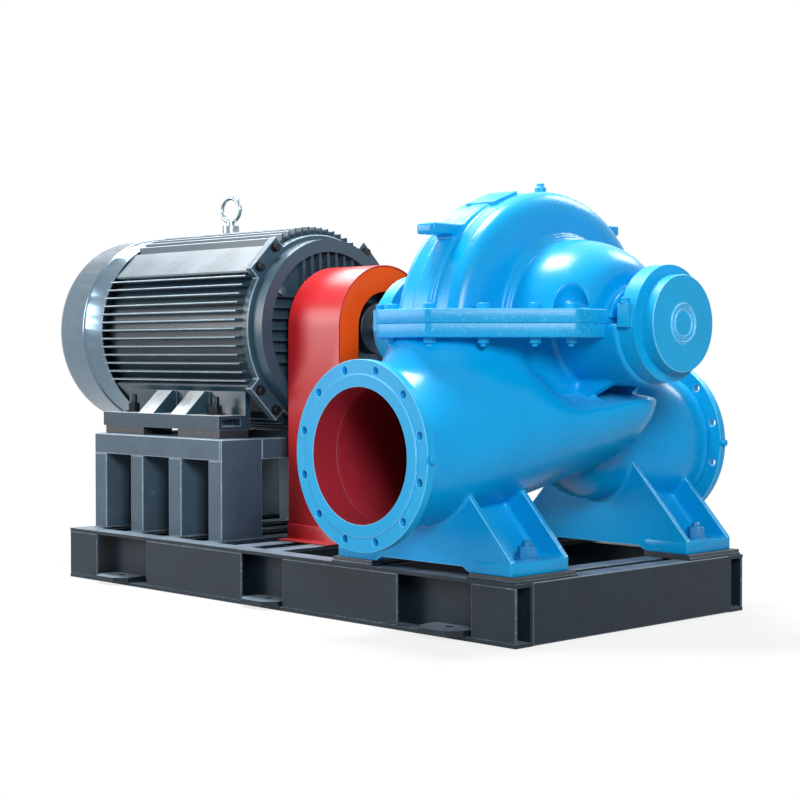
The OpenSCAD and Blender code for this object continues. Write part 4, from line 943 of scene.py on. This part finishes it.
boreReach = 0.178    # a little more than the bore of the nozzle flanges
for node in ("suction_flange", "discharge_flange"):
    piece = softNode(node, blueMachined, width=0.003, worn=blueWornAndHighlit)
    paintFaces(piece, oxidePrimer, facesInward(piece.data, [0, 2], [pumpX, nozzleZ], boreReach))
for node in ("nde_bearing_housing", "de_bearing_housing", "nde_bearing_cover", "de_bearing_cover"):
    softNode(node, blueMachined, width=0.0035, segments=3, worn=blueWornAndHighlit)
for node in ("nde_gland", "de_gland", "vent_plug"):
    softNode(node, blueMachined, width=0.0015, segments=3, worn=blueWornAndHighlit)

# fasteners

hexSides = 24
# washer and chamfer as shares of the flats or the head, stud as shares of the flats or its length
boltShape = {"washerRise": 0.12, "washerEdge": 0.8, "washerTop": 0.97, "side": 0.84, "chamfer": 0.93,
             "chamferReach": 0.535, "top": 0.47, "stud": 0.29, "studSide": 0.85, "studTip": 0.23}


def hexBolt(across, head, washer=0.0, stud=0.0):
    # rows of loops: washer, hexagon (radius = half the flats over the cosine), chamfered top, stud end
    angle = np.linspace(0, 2 * math.pi, hexSides, endpoint=False)
    hexagon = across / 2 / np.cos((angle + math.pi / 6) % (math.pi / 3) - math.pi / 6)
    ring = np.ones(hexSides)
    b = boltShape
    lift = b["washerRise"] * across if washer else 0.0
    top = lift + head
    rows = []
    if washer:
        rows = [(ring * washer, 0.0), (ring * washer, lift * b["washerEdge"]),
                (ring * washer * b["washerTop"], lift)]
    rows += [(hexagon, lift), (hexagon, lift + head * b["side"]),
             (np.minimum(hexagon, across * b["chamferReach"]), lift + head * b["chamfer"]),
             (ring * across * b["top"], top)]
    if stud:
        rows += [(ring * across * b["stud"], top), (ring * across * b["stud"], top + stud * b["studSide"]),
                 (ring * across * b["studTip"], top + stud)]
    rings = [np.stack([reach * np.cos(angle), reach * np.sin(angle), np.full(hexSides, level)], -1)
             for reach, level in rows]
    return surface(np.stack(rings))


# turns that send the bolt's own +Z along another axis
hangDown = np.diag([1.0, -1.0, -1.0])
pointPlusX = np.array([[0, 0, 1.0], [0, 1, 0], [-1, 0, 0]])
pointMinusX = np.array([[0, 0, -1.0], [0, 1, 0], [1, 0, 0]])

casingBolts = {"across": 0.030, "head": 0.015, "stud": 0.008,
               "front": [[0.070, -0.505], [0.168, -0.410], [0.262, -0.316], [0.318, -0.240]],
               "rear": [[0.070, 0.397], [0.168, 0.302], [0.262, 0.208], [0.318, 0.132]]}
spots = np.array(casingBolts["front"] + casingBolts["rear"])
spots = np.concatenate([spots, spots * [-1, 1]]) + [pumpX, 0]
flangeTop = np.column_stack([spots, np.full(len(spots), shaftZ + splitPlates["thick"])])
flangeUnder = np.column_stack([spots, np.full(len(spots), shaftZ - splitPlates["thick"])])
boltHead = hexBolt(casingBolts["across"], casingBolts["head"])
boltNut = hexBolt(casingBolts["across"], casingBolts["head"], 0, casingBolts["stud"])
addShape("split_flange_bolts", join(repeat(boltHead, flangeTop), repeat(boltNut, flangeUnder, hangDown)),
         blueMachined, smooth=30)

# the size of each bolt below: across flats, head, washer radius and stud end
capBolts = {"size": (0.022, 0.013, 0.014), "across": 0.159, "rise": 0.050}
capPlaces = [[sum(ends[:, 0]) / 2, side * capBolts["across"], shaftZ + capBolts["rise"]]
             for ends in (np.array(freeHousing), np.array(driveHousing)) for side in (-1, 1)]
capShapes = repeat(hexBolt(*capBolts["size"]), capPlaces)
addShape("bearing_bolts", capShapes, blueMachined, smooth=30)

glandNuts = {"size": (0.024, 0.016, 0.015, 0.016), "across": 0.062}


def glandPair(face, turn):
    # a nut on its stud at each side of the shaft
    places = [[face, side * glandNuts["across"], shaftZ] for side in (-1, 1)]
    return repeat(hexBolt(*glandNuts["size"]), places, turn)


glandStuds = join(glandPair(corners("nde_gland")[1][0], pointPlusX),
                  glandPair(corners("de_gland")[0][0], pointMinusX))
addShape("gland_studs", glandStuds, zincPlate, smooth=30)

footBolts = {"size": (0.042, 0.030, 0.032, 0.012), "along": 0.276, "front": -0.362, "rear": 0.352}
footPlaces = [[pumpX + end * footBolts["along"], y, footZ + pumpLegs["slab"]]
              for end in (-1, 1) for y in (footBolts["front"], footBolts["rear"])]
footShapes = repeat(hexBolt(*footBolts["size"]), footPlaces)
addShape("pump_foot_bolts", footShapes, blueWithPaintedShade, smooth=30)

# plugs on the rims of the nozzle flanges
rimPlugs = {"size": (0.019, 0.010, 0.015), "sink": 0.002, "fromFace": 0.016}
plugPlaces = [[inletHigh[0] - rimPlugs["sink"], inletLow[1] + rimPlugs["fromFace"], nozzleZ],
              [outletHigh[0] - rimPlugs["sink"], outletHigh[1] - rimPlugs["fromFace"], nozzleZ]]
flangePlugs = repeat(hexBolt(*rimPlugs["size"]), plugPlaces, pointPlusX)
addShape("flange_plugs", flangePlugs, blueMachined, smooth=30)
print("pump fasteners done")

# motor

motorFrame = {
    "core": 0.290, "tips": 0.328, "pitch": 0.027, "last": 6, "rootWidth": 0.0105, "tipWidth": 0.0056,
    "land": 0.312, "landHalf": 0.060, "landBevel": 0.004, "wornAndHighlitTip": 0.0012}


def finOutline():
    # each bank: fins side by side, every fin a pair of drafted flanks and a rounded tip
    # a flat land stands between one bank and the next
    m = motorFrame
    q = np.arange(-m["last"], m["last"] + 1)[:, None] * m["pitch"]
    tip = np.sqrt(m["tips"] ** 2 - q ** 2)
    arc = np.linspace(-math.pi / 2, math.pi / 2, 7)[None]
    rootLeft, rootRight = q - m["rootWidth"] / 2, q + m["rootWidth"] / 2
    tipQ = q + m["tipWidth"] / 2 * np.sin(arc)
    tipP = tip - m["tipWidth"] / 2 * (1 - np.cos(arc))
    leftP, rightP = np.sqrt(m["core"] ** 2 - rootLeft ** 2), np.sqrt(m["core"] ** 2 - rootRight ** 2)
    p = np.concatenate([leftP, tipP, rightP], 1)
    bank = np.stack([p, np.concatenate([rootLeft, tipQ, rootRight], 1)], -1).reshape(-1, 2)
    bevel, half = m["landBevel"], m["landHalf"]
    land = np.array([[m["land"] - bevel, -half], [m["land"], -half + bevel],
                     [m["land"], half - bevel], [m["land"] - bevel, half]])
    def spun(points, degrees):
        c, s = math.cos(math.radians(degrees)), math.sin(math.radians(degrees))
        return points @ np.array([[c, s], [-s, c]])
    return np.concatenate([spun(part, turn + extra) for turn in (0, 90, 180, 270)
                           for part, extra in ((bank, 0), (land, 45))])


finBody = extruded(finOutline() + [0, shaftZ], frameLow[0], frameHigh[0], "x")
finPiece = addShape("motor_frame_fins", finBody, slateEnamel, ["motor_frame"], smooth=40)
finReach = np.linalg.norm(faceValues(finPiece.data, "center")[:, 1:] - [0, shaftZ], axis=1)
# the tips of the fins take the pale edge paint: wear, and a painted highlight along them
paintFaces(finPiece, slateWornAndHighlit, finReach > motorFrame["tips"] - motorFrame["wornAndHighlitTip"])
softNode("motor_feet", slateHighlitSlopes, width=0.004, segments=3, worn=slateWornAndHighlit)
softNode("motor_drive_end_ring", slateSmooth, width=0.003, worn=slateWornAndHighlit)
softNode("motor_drive_end_shield", slateSmooth, width=0.002, worn=slateWornAndHighlit)
softNode("motor_rear_shield", slateSmooth, width=0.003)
coverPiece = softNode("motor_fan_cover", drawnSteel, width=0.001, limit=60)
# the inside of the cover in dark slate paint: painted shade inside the cover
paintFaces(coverPiece, slateEnamel, facesInward(coverPiece.data, [1, 2], [0, shaftZ]))
softNode("motor_fan_grille", drawnSteel, width=0.0008, limit=60)
softNode("motor_eye_bolt", zincPlate, width=0.003, segments=3, limit=60, flatten=0.2)
for node, finish in (("motor_shaft", turnedSteel), ("pump_shaft", turnedSteel),
                     ("coupling_motor_half", greyIron), ("coupling_pump_half", greyIron)):
    softNode(node, finish, width=0.002)

# cooling fan on the motor shaft, seen through the slots of its cover
# a cone on a hub, with flat blades towards the slots
shieldBack, coverBack = corners("motor_rear_shield")[0][0], corners("motor_fan_grille")[0][0]
coolingFan = {"hub": 0.052, "radius": 0.250, "wall": 0.006, "tail": 0.030, "gap": 0.012, "blades": 10,
              "blade": 0.005, "sweep": 0.105, "bore": 0.008, "bladeSink": 0.004, "bladeGap": 0.02,
              "bladeTip": 0.003, "hubTaper": 0.6}


def fanShapes():
    f = coolingFan
    front = shieldBack - f["gap"]
    rim, back = front - f["sweep"], coverBack + f["tail"]
    cone = [[front, f["bore"]], [front, f["hub"]], [rim, f["radius"]], [rim - f["wall"], f["radius"]],
            [front - f["wall"] * 3, f["hub"] - f["wall"]], [back, f["hub"] * f["hubTaper"]],
            [back, f["bore"]]]
    root = f["hub"] - f["bladeSink"]
    blade = [[root, front - f["bladeGap"]], [root, back], [f["radius"], back],
             [f["radius"], rim - f["bladeTip"]]]
    points, faces = extruded(np.array(blade)[::-1], -f["blade"] / 2, f["blade"] / 2, "z")
    # blade points hold radius in x and place along the shaft in y; each copy is spun about the shaft
    radius, along, thick = points.T
    blades = []
    for angle in np.arange(f["blades"]) * 2 * math.pi / f["blades"]:
        c, s = math.cos(angle), math.sin(angle)
        across, up = radius * c - thick * s, radius * s + thick * c + shaftZ
        blades.append((np.stack([along, across, up], -1), faces))
    return join(turned(cone, [0, 0, shaftZ]), *blades)


addShape("cooling_fan", fanShapes(), blackSatin)

# bolts of the drive end ring, a pair at each corner, and studs of the motor feet
motorBolts = {"ring": (0.022, 0.014, 0.016), "circle": 0.316, "spread": 8,
              "foot": (0.036, 0.026, 0.030, 0.028), "across": 0.290, "fromEnd": 0.09, "rise": 0.045}
ringFace = corners("motor_drive_end_ring")[1][0]
ringAngles = np.radians([[base - motorBolts["spread"], base + motorBolts["spread"]]
                         for base in (45, 135, 225, 315)]).ravel()
ringPlaces = np.column_stack([np.full(8, ringFace), motorBolts["circle"] * np.cos(ringAngles),
                              shaftZ + motorBolts["circle"] * np.sin(ringAngles)])
motorFootLow, motorFootHigh = corners("motor_feet")
studEnds = motorFootLow[0] + motorBolts["fromEnd"], motorFootHigh[0] - motorBolts["fromEnd"]
studPlaces = [[along, side * motorBolts["across"], motorFootLow[2] + motorBolts["rise"]]
              for along in studEnds for side in (-1, 1)]
motorFasteners = join(repeat(hexBolt(*motorBolts["ring"]), ringPlaces, pointPlusX),
                      repeat(hexBolt(*motorBolts["foot"]), studPlaces))
addShape("motor_bolts", motorFasteners, blackBolt, smooth=30)

# guard, stool and base

softNode("coupling_guard_shell", redEnamel, width=0.0016)
softNode("coupling_guard_ends", orangeEnamel, width=0.0012)
for node in nodes:
    if slotOf[node] == "base_paint":
        softNode(node, blackSatin, width=0.003, worn=blackScuffedAndHighlit)
    elif slotOf[node] == "stool_paint":
        softNode(node, slateWithPaintedSheen, width=0.003, worn=slateWornAndHighlit)
    elif slotOf[node] == "pad_steel":
        softNode(node, wipedSteel, width=0.0015)

# weld beads along the outer edge and both ends of each pump pad
# a small circle carried along the edge, rippled by a sine
padWelds = {"radius": 0.0042, "sides": 8, "ripple": 0.2, "pitch": 0.008, "length": 0.158,
            "width": 0.235, "rise": 0.3, "stepsPerPitch": 6}
padLow, padHigh = corners("pump_pads")


def padBead(start, stop):
    steps = int(padWelds["stepsPerPitch"] * np.linalg.norm(np.subtract(stop, start)) / padWelds["pitch"])
    path = straight(start, stop, steps)
    return tube(path, padWelds["radius"], padWelds["sides"], padWelds["ripple"], padWelds["pitch"])


def padBeads(first, outer, inner):
    last, level = first + padWelds["length"], padLow[2] + padWelds["rise"] * padWelds["radius"]
    return join(padBead([first, outer, level], [last, outer, level]),
                padBead([first, outer, level], [first, inner, level]),
                padBead([last, outer, level], [last, inner, level]))


padStarts = padLow[0], padHigh[0] - padWelds["length"]
padEdges = (padLow[1], padLow[1] + padWelds["width"]), (padHigh[1], padHigh[1] - padWelds["width"])
padBeadRuns = join(*[padBeads(first, *edge) for first in padStarts for edge in padEdges])
addShape("pad_weld_beads", padBeadRuns, blackSatin)
print("motor, guard and base done")

# floor, light and camera


def seenRays(tree):
    # 1 for rays that look at the surroundings: from the camera, off a gloss or through glass
    light = addNode(tree, "ShaderNodeLightPath")
    seen = addNode(tree, "ShaderNodeMath", {
        0: light.outputs["Is Camera Ray"], 1: light.outputs["Is Glossy Ray"]}, operation="MAXIMUM")
    seen = addNode(tree, "ShaderNodeMath", {
        0: seen.outputs["Value"], 1: light.outputs["Is Transmission Ray"]}, operation="MAXIMUM")
    return seen.outputs["Value"]


# the floor throws up less light than it shows, so that the undersides stay dark
floorPlan = {"half": 9.0, "level": -0.0005, "colour": "#D4D6D8", "bounce": "#8E9092", "nearLift": 0.8,
             "nearTo": 1.5, "farFrom": 2.6}
floorEnds = [-floorPlan["half"], floorPlan["half"]]
floorGrid = np.stack(np.meshgrid(floorEnds, floorEnds, [floorPlan["level"]]), -1)[..., 0, :]
floorMesh = makeMesh("floor", sheetGrid(floorGrid))
floor = bpy.data.objects.new("floor", floorMesh)
bpy.context.scene.collection.objects.link(floor)
# plain matt floor, seen as white except where the object shades it
matt = bpy.data.materials.new("matt_white_floor")
matt.use_nodes = True
tree = matt.node_tree
shader = tree.nodes["Principled BSDF"]
shader.inputs["Roughness"].default_value = 0.9
seen = seenRays(tree)
tone = addNode(tree, "ShaderNodeMix", {
    "Factor": seen, "A": linear(floorPlan["bounce"]), "B": linear(floorPlan["colour"])}, data_type="RGBA")
tree.links.new(tone.outputs["Result"], shader.inputs["Base Color"])
floorPlace = addNode(tree, "ShaderNodeTexCoord").outputs["Object"]
reach = addNode(tree, "ShaderNodeVectorMath", {0: floorPlace}, operation="LENGTH")
lift = addNode(tree, "ShaderNodeMapRange", {
    "Value": reach.outputs["Value"], "From Min": floorPlan["nearTo"], "From Max": floorPlan["farFrom"],
    "To Min": floorPlan["nearLift"], "To Max": 1.0}, interpolation_type="SMOOTHSTEP")
share = addNode(tree, "ShaderNodeMath", {0: seen, 1: lift.outputs["Result"]}, operation="MULTIPLY")
glow = addNode(tree, "ShaderNodeEmission", {"Color": (1, 1, 1, 1), "Strength": 1.0})
blend = addNode(tree, "ShaderNodeMixShader", {
    0: share.outputs["Value"], 1: shader.outputs["BSDF"], 2: glow.outputs["Emission"]})
tree.links.new(blend.outputs["Shader"], tree.nodes["Material Output"].inputs["Surface"])
floorMesh.materials.append(matt)

# white where it is seen, with little light of its own
worldLight = 0.1
world = bpy.data.worlds.new("studio")
world.use_nodes = True
tree = world.node_tree
sky = tree.nodes["Background"]
power = addNode(tree, "ShaderNodeMapRange", {"Value": seenRays(tree), "To Min": worldLight, "To Max": 1.0})
sky.inputs["Color"].default_value = (1, 1, 1, 1)
tree.links.new(power.outputs["Result"], sky.inputs["Strength"])
bpy.context.scene.world = world

# place, target, size in metres and power in watts of each soft lamp
lamps = {
    "key": ((-3.8, -4.1, 2.0), (0.0, 0.0, 0.6), 2.4, 170.0),
    "fill": ((4.8, -3.2, 2.6), (0.2, 0.0, 0.7), 1.6, 235.0),
    "top": ((-0.5, -0.3, 4.4), (0.1, -0.1, 0.6), 1.2, 260.0),
    "rim": ((-3.0, 0.9, 3.4), (-0.5, 0.0, 0.8), 1.8, 90.0),
    "back": ((0.8, 3.0, 3.4), (0.5, 0.2, 0.7), 1.4, 80.0)}
for name, (place, target, size, energy) in lamps.items():
    lamp = bpy.data.lights.new(name, "AREA")
    lamp.size = size
    lamp.energy = energy
    lampObject = bpy.data.objects.new(name, lamp)
    bpy.context.scene.collection.objects.link(lampObject)
    away = np.array(place) - np.array(target)
    lampObject.location = place
    tilt = math.acos(away[2] / np.linalg.norm(away))
    lampObject.rotation_euler = (tilt, 0, math.atan2(away[1], away[0]) + math.pi / 2)

# the photograph's viewpoint: place in metres, angles in degrees, lens in millimetres
view = {"place": (3.879, -3.652, 0.728), "tilt": 88.52, "pan": 46.15, "lens": 78.2}
camera = bpy.data.cameras.new("camera")
camera.lens = view["lens"]
camera.sensor_width = 36
cameraObject = bpy.data.objects.new("camera", camera)
bpy.context.scene.collection.objects.link(cameraObject)
cameraObject.location = view["place"]
cameraObject.rotation_euler = (math.radians(view["tilt"]), 0, math.radians(view["pan"]))
bpy.context.scene.camera = cameraObject
bpy.context.scene.view_settings.view_transform = "Standard"
